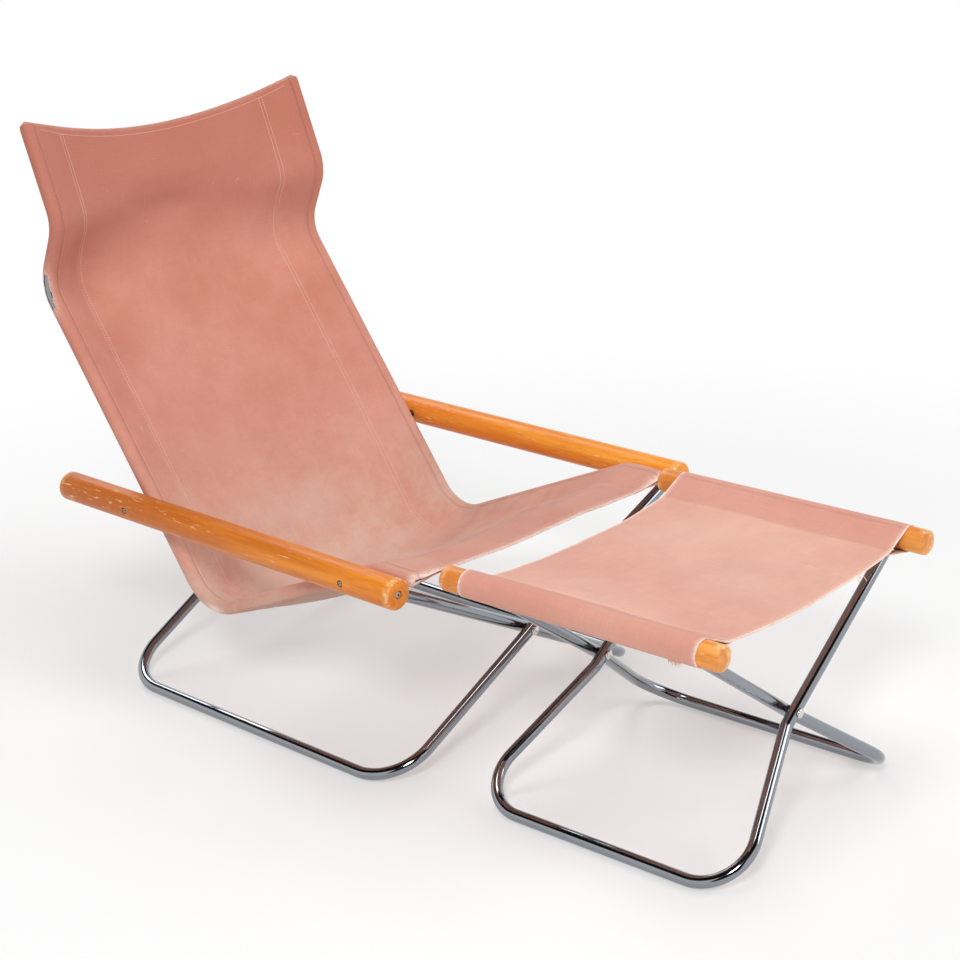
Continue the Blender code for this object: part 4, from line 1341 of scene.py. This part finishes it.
    def hemmed(self, share: float, v: float) -> Vector:
        """A point of the panel, or of the hem turned back behind it."""
        total = self.shape.total
        over = -v if v < 0 else v - total
        if over <= 0:
            return self.shape.panel(share, v)
        inside = over if v < 0 else total - over
        return self.shape.behind(share, inside, LAYER_GAP * smooth(0.0, 0.0015, over))

    def edge_wear(self, v: float) -> float:
        """Share of wear at the cloth's front and top edges."""
        front = 1.3 * (1.0 - smooth(0.0020, 0.0070, v))
        return max(front, 0.25 * smooth(0.0045, 0.0008, self.shape.total - v))

    def panel(self) -> None:
        """The sling between the tubes: front layer with hems, and the two back layers of its sleeves."""
        shape = self.shape
        stretch, turned_in = 1.02, 0.061
        piece = Piece("sling_cloth")
        piece.cloth(
            evenly(84, -1.0, 1.0),
            self.rows(True),
            lambda c, v: (self.hemmed(c, v), (c * shape.half * stretch, v), 0.75 * self.edge_wear(v)),
        )
        steps = [*evenly(8)[:-1], 0.97, 1.0]
        for side in (-1.0, 1.0):
            piece.cloth(
                steps,
                self.rows(False),
                lambda b, v, side=side: (
                    shape.flap(side, shape.flap_line(side, v)[2] * (1 - b) + b, v),
                    (side * (0.31 + 0.062 * b), v),
                    0.4 * smooth(0.97, 1.0, b),
                ),
            )
        thing = piece.done(self.canvas, Body.LEFT, ["sling_panel"], 70.0, self.size.cloth)
        self.gather(thing)

    def gather(self, thing: bpy.types.Object) -> None:
        """Give a piece its own copy of its mesh."""
        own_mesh(thing)

    def sleeve(self, word: str, side: float, body: Body) -> None:
        """The cloth round one side tube, between its front and back layers."""
        shape = self.shape
        near = side < 0
        hole, rub = (shape.total * at if near else -1.0 for at in (self.HOLE_AT, self.RUB_AT))

        def place(share: float, v: float) -> tuple[Vector, Point2, float]:
            round_hole = math.exp(-(((v - hole) / 0.032) ** 2 + ((share - 0.5) / 0.14) ** 2))
            round_rub = math.exp(-(((v - rub) / 0.014) ** 2 + ((share - 0.64) / 0.16) ** 4))
            wear = max(self.edge_wear(v), round_hole, round_rub)
            return shape.round_tube(side, share, v), (side * (0.25 + 0.050 * share), v), wear

        def gone(share: float, v: float) -> bool:
            wide = 0.10 + 0.03 * noise.noise(Vector((v * 90.0, 0.0, 3.0)))
            return ((v - hole) / 0.026) ** 2 + ((share - 0.5) / wide) ** 2 < 1.0

        piece = Piece(f"sling_roll_{word}")
        steps = [0.0, 0.09, *evenly(26, shape.STRIP, 1 - shape.STRIP), 0.91, 1.0]
        piece.cloth(steps, self.rows(False), place, gone if near else None)
        thing = piece.done(self.canvas, body, [f"sling_sleeve_{word}"], 70.0, self.size.cloth)

    def row_of_stitches(self, spots: Outline, front: bool, lengthwise: bool) -> list[Matrix]:
        """Places for thread stitches on the panel.

        Args:
            spots: share across and distance along of each stitch.
            front: whether they lie on the front of the cloth.
            lengthwise: whether they run along the cloth.

        Returns:
            A transform for each stitch.
        """
        shape = self.shape
        places = []
        for share, v in spots:
            step = 0.002
            here = shape.panel(share, v)
            up = shape.panel(share, min(v + step, shape.total)) - shape.panel(share, max(v - step, 0.0))
            over = shape.panel(share + step * 2, v) - shape.panel(share - step * 2, v)
            normal = over.cross(up).normalized()
            if normal.dot(Vector((0.0, -1.0, 1.0))) < 0:
                normal = -normal
            run = (up if lengthwise else over).normalized()
            lift = 0.00055 if front else STITCH_BELOW
            frame = Matrix((run.cross(normal), normal, run)).transposed().to_4x4()
            places.append(Matrix.Translation(here + normal * lift) @ frame)
        return places

    def stitching(self) -> None:
        """Double rows beside the tubes and the rows of the hems."""
        shape = self.shape
        piece = Piece("sling_stitching")
        places: list[Matrix] = []
        count = int((shape.total - 0.012) / STITCH_PITCH)
        for side in (-1.0, 1.0):
            for inset in (0.0015, 0.0075):
                share = side * (shape.inner - inset) / shape.inner * shape.seam_share
                spots = [(share, 0.006 + STITCH_PITCH * index) for index in range(count)]
                places += self.row_of_stitches(spots, True, True) + self.row_of_stitches(spots, False, True)
        reach = 0.94
        across = int(2 * shape.half * reach / STITCH_PITCH)
        for v in (0.0055, 0.0120, shape.total - 0.0115):
            spots = [(share, v) for share in evenly(across, -reach, reach)]
            places += self.row_of_stitches(spots, True, False)
        piece.stitches(places)
        thing = piece.done(self.thread, Body.LEFT, (), 60.0)
        self.gather(thing)


# Stool


@dataclass(frozen=True)
class StoolSize:
    """Sizes of the stool in metres, with Y from its middle."""

    dowel_x: float = 0.2378
    dowel_height: float = 0.334
    dowel_half: float = 0.21625
    dowel_radius: float = 0.01725
    stagger: float = 0.0095
    pivot_height: float = 0.1629
    cross_half: float = 0.1547
    foot_half: float = 0.2186
    cloth_half: float = 0.185
    cloth_offset: float = -0.003
    cloth: float = 0.0010
    wrap: float = 0.0181
    seam: float = 0.050
    sag: float = 0.012
    distance: float = 0.603
    aside: float = 0.012
    turn_deg: float = 2.11
    splay_drop: float = 0.023
    foot_bend: float = 0.063

    @property
    def cloth_ends(self) -> Point2:
        """The cloth's front and rear edges along the dowels."""
        return self.cloth_offset - self.cloth_half, self.cloth_offset + self.cloth_half


class Stool:
    """The footstool: frames, dowels and its cloth."""

    HEM = (0.0005, 0.0012, 0.004, 0.008)

    def __init__(self, finishes: Finishes, chair: Chair) -> None:
        self.size = size = StoolSize()
        turn = Matrix.Rotation(math.radians(size.turn_deg), 4, "Z")
        self.place = Matrix.Translation((-size.aside, chair.y - size.distance, 0.0)) @ turn
        self.frames = crossed_frames(
            size.stagger,
            bar_x=size.dowel_x,
            bar_height=size.dowel_height,
            pivot_height=size.pivot_height,
            top_half=size.cross_half,
            cross_half=size.cross_half,
            foot_half=size.foot_half,
            splay_drop=size.splay_drop,
            bend=size.foot_bend,
        )
        self.chair = chair
        self.finishes = finishes
        self.inner = size.dowel_x - size.seam
        self.depth = 2 * size.sag * size.seam / (self.inner + 2 * size.seam)
        canvas = Canvas(
            "faded_stool_canvas",
            fresh=srgb(217, 156, 138),
            faded=srgb(234, 182, 162),
            soil=srgb(216, 186, 170),
            soil_low=0.30,
            soil_high=0.36,
            soil_amount=0.3,
            # Painted shade on the sleeves, which slope away from the light.
            painted_shade=srgb(208, 136, 120),
            pale=srgb(248, 220, 206),
            shade_from=self.inner - 0.001,
            shade_amount=0.5,
        )
        self.canvas = canvas.material(finishes)

    def build(self) -> None:
        """Make every piece of the stool."""
        chair = self.chair
        pair = FramePair("stool", self.frames, (Body.STOOL_A, Body.STOOL_B), self.place)
        pair.build(chair.chrome, chair.bright, chair.plastic)
        for word, frame, body in zip(("left", "right"), self.frames, pair.bodies):
            self.dowel(word, frame, body)
            self.sleeve(word, frame, body)
        self.panel()
        self.stitching()
        self.loose_threads()

    def leg_rods(self, frame: LegFrame, wide: float, stop: float) -> list[bpy.types.Mesh]:
        """Cutters along the two leg tops of a frame."""
        leg = Vector((frame.side * math.cos(frame.slope), 0.0, math.sin(frame.slope)))
        spots = [frame.at(frame.upper, sign * self.size.cross_half) for _, sign in ENDS]
        return [rod_mesh(bar(wide, -0.06, stop), self.place @ along(leg, spot)) for spot in spots]

    def cloth_slits(self, frame: LegFrame) -> list[bpy.types.Mesh]:
        """Cutters for the cloth where a frame's leg tops pass through it."""
        return self.leg_rods(frame, 0.0105, -0.004)

    def dowel(self, word: str, frame: LegFrame, body: Body) -> None:
        """One wooden dowel with its sockets, and the hidden screws."""
        size = self.size
        half, radius = size.dowel_half, size.dowel_radius
        centre = Vector((frame.side * size.dowel_x, 0.0, size.dowel_height))
        piece = Piece(f"wooden_dowel_{word}")
        piece.turned(eased_bar(half, radius, 0.003, 8), self.place @ along(ALONG_Y, centre), 64)
        middle = self.place @ centre
        tones = (srgb(244, 166, 84), srgb(218, 132, 54), srgb(214, 126, 48))
        ends = (middle.y - half, middle.y + half)
        varnish = Varnish(f"dowel_varnish_{word}", *ends, (middle.x, middle.z), radius, *tones, scuffs=0.4)
        thing = piece.done(varnish.material(self.finishes), body, [f"stool_dowel_{word}"], 40.0)
        carve(thing, self.leg_rods(frame, 0.0091, 0.0063), 40.0)
        face, shank, head = radius - 0.0030, 0.0020, 0.0036
        profile = [(0.0, -0.0115), (shank, -0.0105), (shank, face)]
        profile += [(head, face + 0.0002), (head, face + 0.0020), (0.0, face + 0.0022)]
        for end, sign in ENDS:
            spot = frame.at(frame.upper, sign * size.cross_half)
            piece = Piece(f"leg_screw_{word}_{end}")
            piece.turned(profile, self.place @ along(-frame.normal(), spot), 24)
            piece.done(self.chair.screw, body, [f"dowel_screw_{word}_{end}"])

    def angles(self) -> tuple[float, float]:
        """Angles round the dowel where the top and the bottom layer leave it."""
        size = self.size
        tilt = math.atan2(-self.depth, size.seam)
        spread = math.acos(size.wrap / math.hypot(size.seam, self.depth))
        return tilt + spread, tilt - spread

    def round_dowel(self, side: float, angle: float, y: float) -> Vector:
        """A point of the cloth on the dowel, by its angle from inward."""
        size = self.size
        x = side * (size.dowel_x - size.wrap * math.cos(angle))
        return self.place @ Vector((x, y, size.dowel_height + size.wrap * math.sin(angle)))

    def top(self, share: float, y: float) -> Vector:
        """A point of the top layer, from one dowel (-1) to the other (1)."""
        size = self.size
        side = 1.0 if share >= 0 else -1.0
        split = self.inner / size.dowel_x
        reach = abs(share)
        broad, fine = Vector((share * 2.2, y * 9.0, 2.2)), Vector((share * 9.0 + y * 6.0, y * 34.0, 6.2))
        wave = noise.noise(broad) * 0.0022 * smooth(0.0, 0.2, 1 - reach)
        wave += noise.noise(fine) * 0.0005 * smooth(0.0, 0.1, 1 - reach)
        if reach <= split:
            x = self.inner * reach / split
            sunk = self.depth + (size.sag - self.depth) * (1 - (x / self.inner) ** 2)
            edge = smooth(0.0, 0.02, size.cloth_half - abs(y - size.cloth_offset))
            curl = 0.0035 * (1 - edge) * (1 - (x / self.inner) ** 4)
            return self.place @ Vector((side * x, y, size.dowel_height - sunk - curl + wave))
        blend = (reach - split) / (1 - split)
        seam = self.place @ Vector((side * self.inner, y, size.dowel_height - self.depth))
        rim = self.round_dowel(side, self.angles()[0], y)
        return seam.lerp(rim, blend) + Vector((0, 0, wave))

    def rows(self, hem: bool) -> list[float]:
        """Places along the dowels; a hem's rows are past the ends."""
        low, high = self.size.cloth_ends
        edge = 0.003
        rows = [low, low + edge / 2, *evenly(70, low + edge, high - edge), high - edge / 2, high]
        return with_hems(rows, self.HEM) if hem else rows

    def hemmed(self, share: float, y: float) -> Vector:
        """A point of the panel, or of the hem turned under it."""
        low, high = self.size.cloth_ends
        over = max(low - y, y - high)
        if over <= 0:
            return self.top(share, y)
        inside = low + over if y < low else high - over
        return self.top(share, inside) - UP * (LAYER_GAP * smooth(0.0, 0.0015, over))

    def edge_wear(self, y: float) -> float:
        """Share of wear at the cloth's front and rear edges."""
        half = self.size.cloth_half
        return 0.9 * smooth(half - 0.0040, half - 0.0012, abs(y - self.size.cloth_offset))

    def under(self, side: float, blend: float, y: float) -> tuple[Vector, Point2, float]:
        """A point of a sleeve's under layer, from the dowel (0) to just past the seam (1)."""
        rim = self.round_dowel(side, self.angles()[1], y)
        end = self.top(side * (self.inner - 0.007) / self.size.dowel_x, y) - UP * LAYER_GAP
        return rim.lerp(end, blend), (side * (0.32 + 0.055 * blend), y), self.edge_wear(y)

    def panel(self) -> None:
        """The cloth between the dowels with the under layers of its sleeves."""
        size = self.size
        piece = Piece("stool_cloth")
        piece.cloth(
            evenly(72, -1.0, 1.0),
            self.rows(True),
            lambda c, y: (self.hemmed(c, y), (c * size.dowel_x, y), self.edge_wear(y)),
        )
        for side in (-1.0, 1.0):
            piece.cloth(evenly(6), self.rows(False), partial(self.under, side))
        thing = piece.done(self.canvas, None, ["stool_panel"], 70.0, size.cloth)
        carve(thing, [mesh for frame in self.frames for mesh in self.cloth_slits(frame)])
        self.blend(thing)

    def blend(self, thing: bpy.types.Object) -> None:
        """Bake a piece's transform into its mesh."""
        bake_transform(thing)

    def sleeve(self, word: str, frame: LegFrame, body: Body) -> None:
        """The cloth round one dowel."""
        front, back = self.angles()

        def place(share: float, y: float) -> tuple[Vector, Point2, float]:
            spot = self.round_dowel(frame.side, front + (back + math.tau - front) * share, y)
            return spot, (frame.side * (0.25 + 0.07 * share), y), self.edge_wear(y)

        piece = Piece(f"stool_roll_{word}")
        piece.cloth(evenly(30), self.rows(False), place)
        nodes = [f"stool_sleeve_{word}"]
        thing = piece.done(self.canvas, body, nodes, 70.0, self.size.cloth)
        carve(thing, self.cloth_slits(frame))

    def stitching(self) -> None:
        """The rows of stitches beside the dowels."""
        size = self.size
        piece = Piece("stool_stitching")
        places: list[Matrix] = []
        count = int((2 * size.cloth_half - 0.008) / STITCH_PITCH)
        low = size.cloth_ends[0] + 0.004
        run = self.place.to_3x3() @ ALONG_Y
        frame = Matrix((run.cross(UP), UP, run)).transposed().to_4x4()
        for side in (-1.0, 1.0):
            for inset in (0.0010, 0.0060):
                share = side * (self.inner - inset) / size.dowel_x
                for index in range(count):
                    spot = self.top(share, low + STITCH_PITCH * index)
                    for lift in (0.0006, STITCH_BELOW):
                        places.append(Matrix.Translation(spot + UP * lift) @ frame)
        piece.stitches(places)
        thing = piece.done(self.chair.thread, None, (), 60.0)
        self.blend(thing)

    def loose_threads(self) -> None:
        """Torn threads at the front edge and below the near sleeve."""
        piece = Piece("stool_loose_threads")
        low = self.size.cloth_ends[0]
        ahead, down = Vector((0.0, -1.0, -0.4)), Vector((-0.2, -0.5, -1.0))
        ends = [(self.top(share, low + 0.001), ahead, 0.008) for share in (0.44, 0.455, 0.47, 0.49)]
        below, pitch = math.radians(250), 0.0013
        torn = [self.round_dowel(-1.0, below, low + 0.030 + pitch * step) for step in range(15)]
        ends += [(spot, down, 0.0042) for spot in torn]
        for index, (start, away, reach) in enumerate(ends):
            length = reach * (1.0 + 0.6 * noise.noise(Vector((index * 3.7, 1.0, 2.0))))
            drift = [noise.noise(Vector(spot)) for spot in ((index * 5.1, 0.5, 0.2), (index * 2.3, 7.5, 0.2))]
            bend = Vector((*drift, -0.5))
            away = away.normalized()
            path = [start + away * length * share + bend * length * share**2 for share in evenly(6)]
            across = (path[-1] - path[0]).cross(path[3] - path[0]).normalized()
            piece.tube(path, across, 0.0005, 0.0004, 6)
        thing = piece.done(self.chair.thread, None, (), 60.0)
        self.blend(thing)


# Studio


@dataclass(frozen=True)
class Lamp:
    """One area lamp, aimed at the middle of the set."""

    name: str
    spot: tuple[float, float, float]
    size: float
    power: float


class Studio:
    """Floor, lamps, world and camera."""

    def build(self, chair_y: float) -> None:
        """Set up everything that isn't the object.

        Args:
            chair_y: the middle of the chair's arms along Y.
        """
        bpy.context.scene.view_settings.view_transform = "Standard"
        self.floor()
        self.card("dark_ceiling", 6.0, Matrix.Translation((0.0, 0.0, 4.2)))
        self.card("dark_wall", 2.6, along(Vector((1.0, 0.95, 0.0)), Vector((-3.9, -3.6, 1.9))))
        self.world()
        for lamp in (
            Lamp("key", (-3.1, -2.3, 3.0), 0.9, 108.0),
            Lamp("fill", (1.6, -2.7, 2.4), 1.8, 36.0),
            Lamp("rim", (0.9, 2.7, 2.9), 1.6, 36.0),
            Lamp("top", (-0.2, -0.2, 3.4), 1.6, 40.0),
        ):
            self.lamp(lamp)
        self.camera(chair_y)

    def panel(self, name: str, half: float, place: Matrix) -> tuple[bpy.types.Object, Graph, Node]:
        """A square sheet of the studio with its own material.

        Args:
            name: its name.
            half: half of its side.
            place: its transform.

        Returns:
            The object, its material's graph and its shader.
        """
        form = bmesh.new()
        bmesh.ops.create_grid(form, x_segments=1, y_segments=1, size=half, matrix=place)
        mesh = mesh_of(form, name)
        thing = add_object(name, mesh)
        material = bpy.data.materials.new(name)
        material.use_nodes = True
        mesh.materials.append(material)
        return thing, Graph(material.node_tree), material.node_tree.nodes["Principled BSDF"]

    def card(self, name: str, half: float, place: Matrix) -> None:
        """A dark card that the chrome mirrors."""
        thing, graph, shader = self.panel(name, half, place)
        thing.visible_camera = False
        graph.feed(shader, Base_Color=(0.02, 0.02, 0.02, 1.0), Roughness=0.9, Specular_IOR_Level=0.0)

    def floor(self) -> None:
        """A wide white floor that keeps the object's shadow and fades to plain white far from it."""
        _, graph, shader = self.panel("floor", 16.0, Matrix.Translation((0.0, 0.0, -0.0004)))
        graph.feed(shader, Base_Color=(0.93, 0.93, 0.93, 1.0), Roughness=0.9, Specular_IOR_Level=0.1)
        far = graph.ramp(graph.length(graph.coords()), 0.8, 2.0, 0.4, 1.0)
        glow = graph.node("Emission", Strength=1.0).outputs[0]
        share = graph.times(graph.seen(), far)
        blend = graph.node("MixShader", i0=share, i1=shader.outputs[0], i2=glow)
        graph.feed(graph.tree.nodes["Material Output"], Surface=blend.outputs[0])

    def world(self) -> None:
        """Soft white light all round, brighter where it is seen or mirrored."""
        world = bpy.data.worlds.new("studio")
        world.use_nodes = True
        graph = Graph(world.node_tree)
        strength = graph.ramp(graph.seen(), 0.0, 1.0, 0.66, 1.0)
        graph.feed(world.node_tree.nodes["Background"], Color=(1.0, 1.0, 1.0, 1.0), Strength=strength)
        bpy.context.scene.world = world

    def lamp(self, lamp: Lamp) -> None:
        """Add one area lamp."""
        data = bpy.data.lights.new(lamp.name, "AREA")
        data.size, data.energy = lamp.size, lamp.power
        spot = Vector(lamp.spot)
        add_object(lamp.name, data).matrix_world = along(spot - Vector((0.0, 0.0, 0.3)), spot)

    def camera(self, chair_y: float) -> None:
        """The photograph's view, as fitted to points measured in it."""
        yaw, pitch, roll = math.radians(-46.81), math.radians(-19.04), math.radians(-1.61)
        forward = Vector((-math.sin(yaw) * math.cos(pitch), math.cos(yaw) * math.cos(pitch), math.sin(pitch)))
        right = forward.cross(UP).normalized()
        up = right.cross(forward)
        level = math.cos(roll) * right + math.sin(roll) * up
        lift = math.cos(roll) * up - math.sin(roll) * right
        data = bpy.data.cameras.new("camera")
        data.lens, data.sensor_width = 81.67, 36.0
        data.shift_y = -0.0049
        thing = add_object("camera", data)
        pose = Matrix((level, lift, -forward)).transposed().to_4x4()
        thing.matrix_world = Matrix.Translation((-2.1365, chair_y - 2.2235, 1.3769)) @ pose
        bpy.context.scene.camera = thing


def main() -> None:
    """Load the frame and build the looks."""
    logging.basicConfig(level=logging.INFO, format="%(relativeCreated)d ms %(name)s: %(message)s")
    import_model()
    finishes = Finishes()
    chair = Chair(finishes)
    chair.build()
    Stool(finishes, chair).build()
    Studio().build(chair.y)
    bpy.context.view_layer.update()


if __name__ == "__main__":
    main()
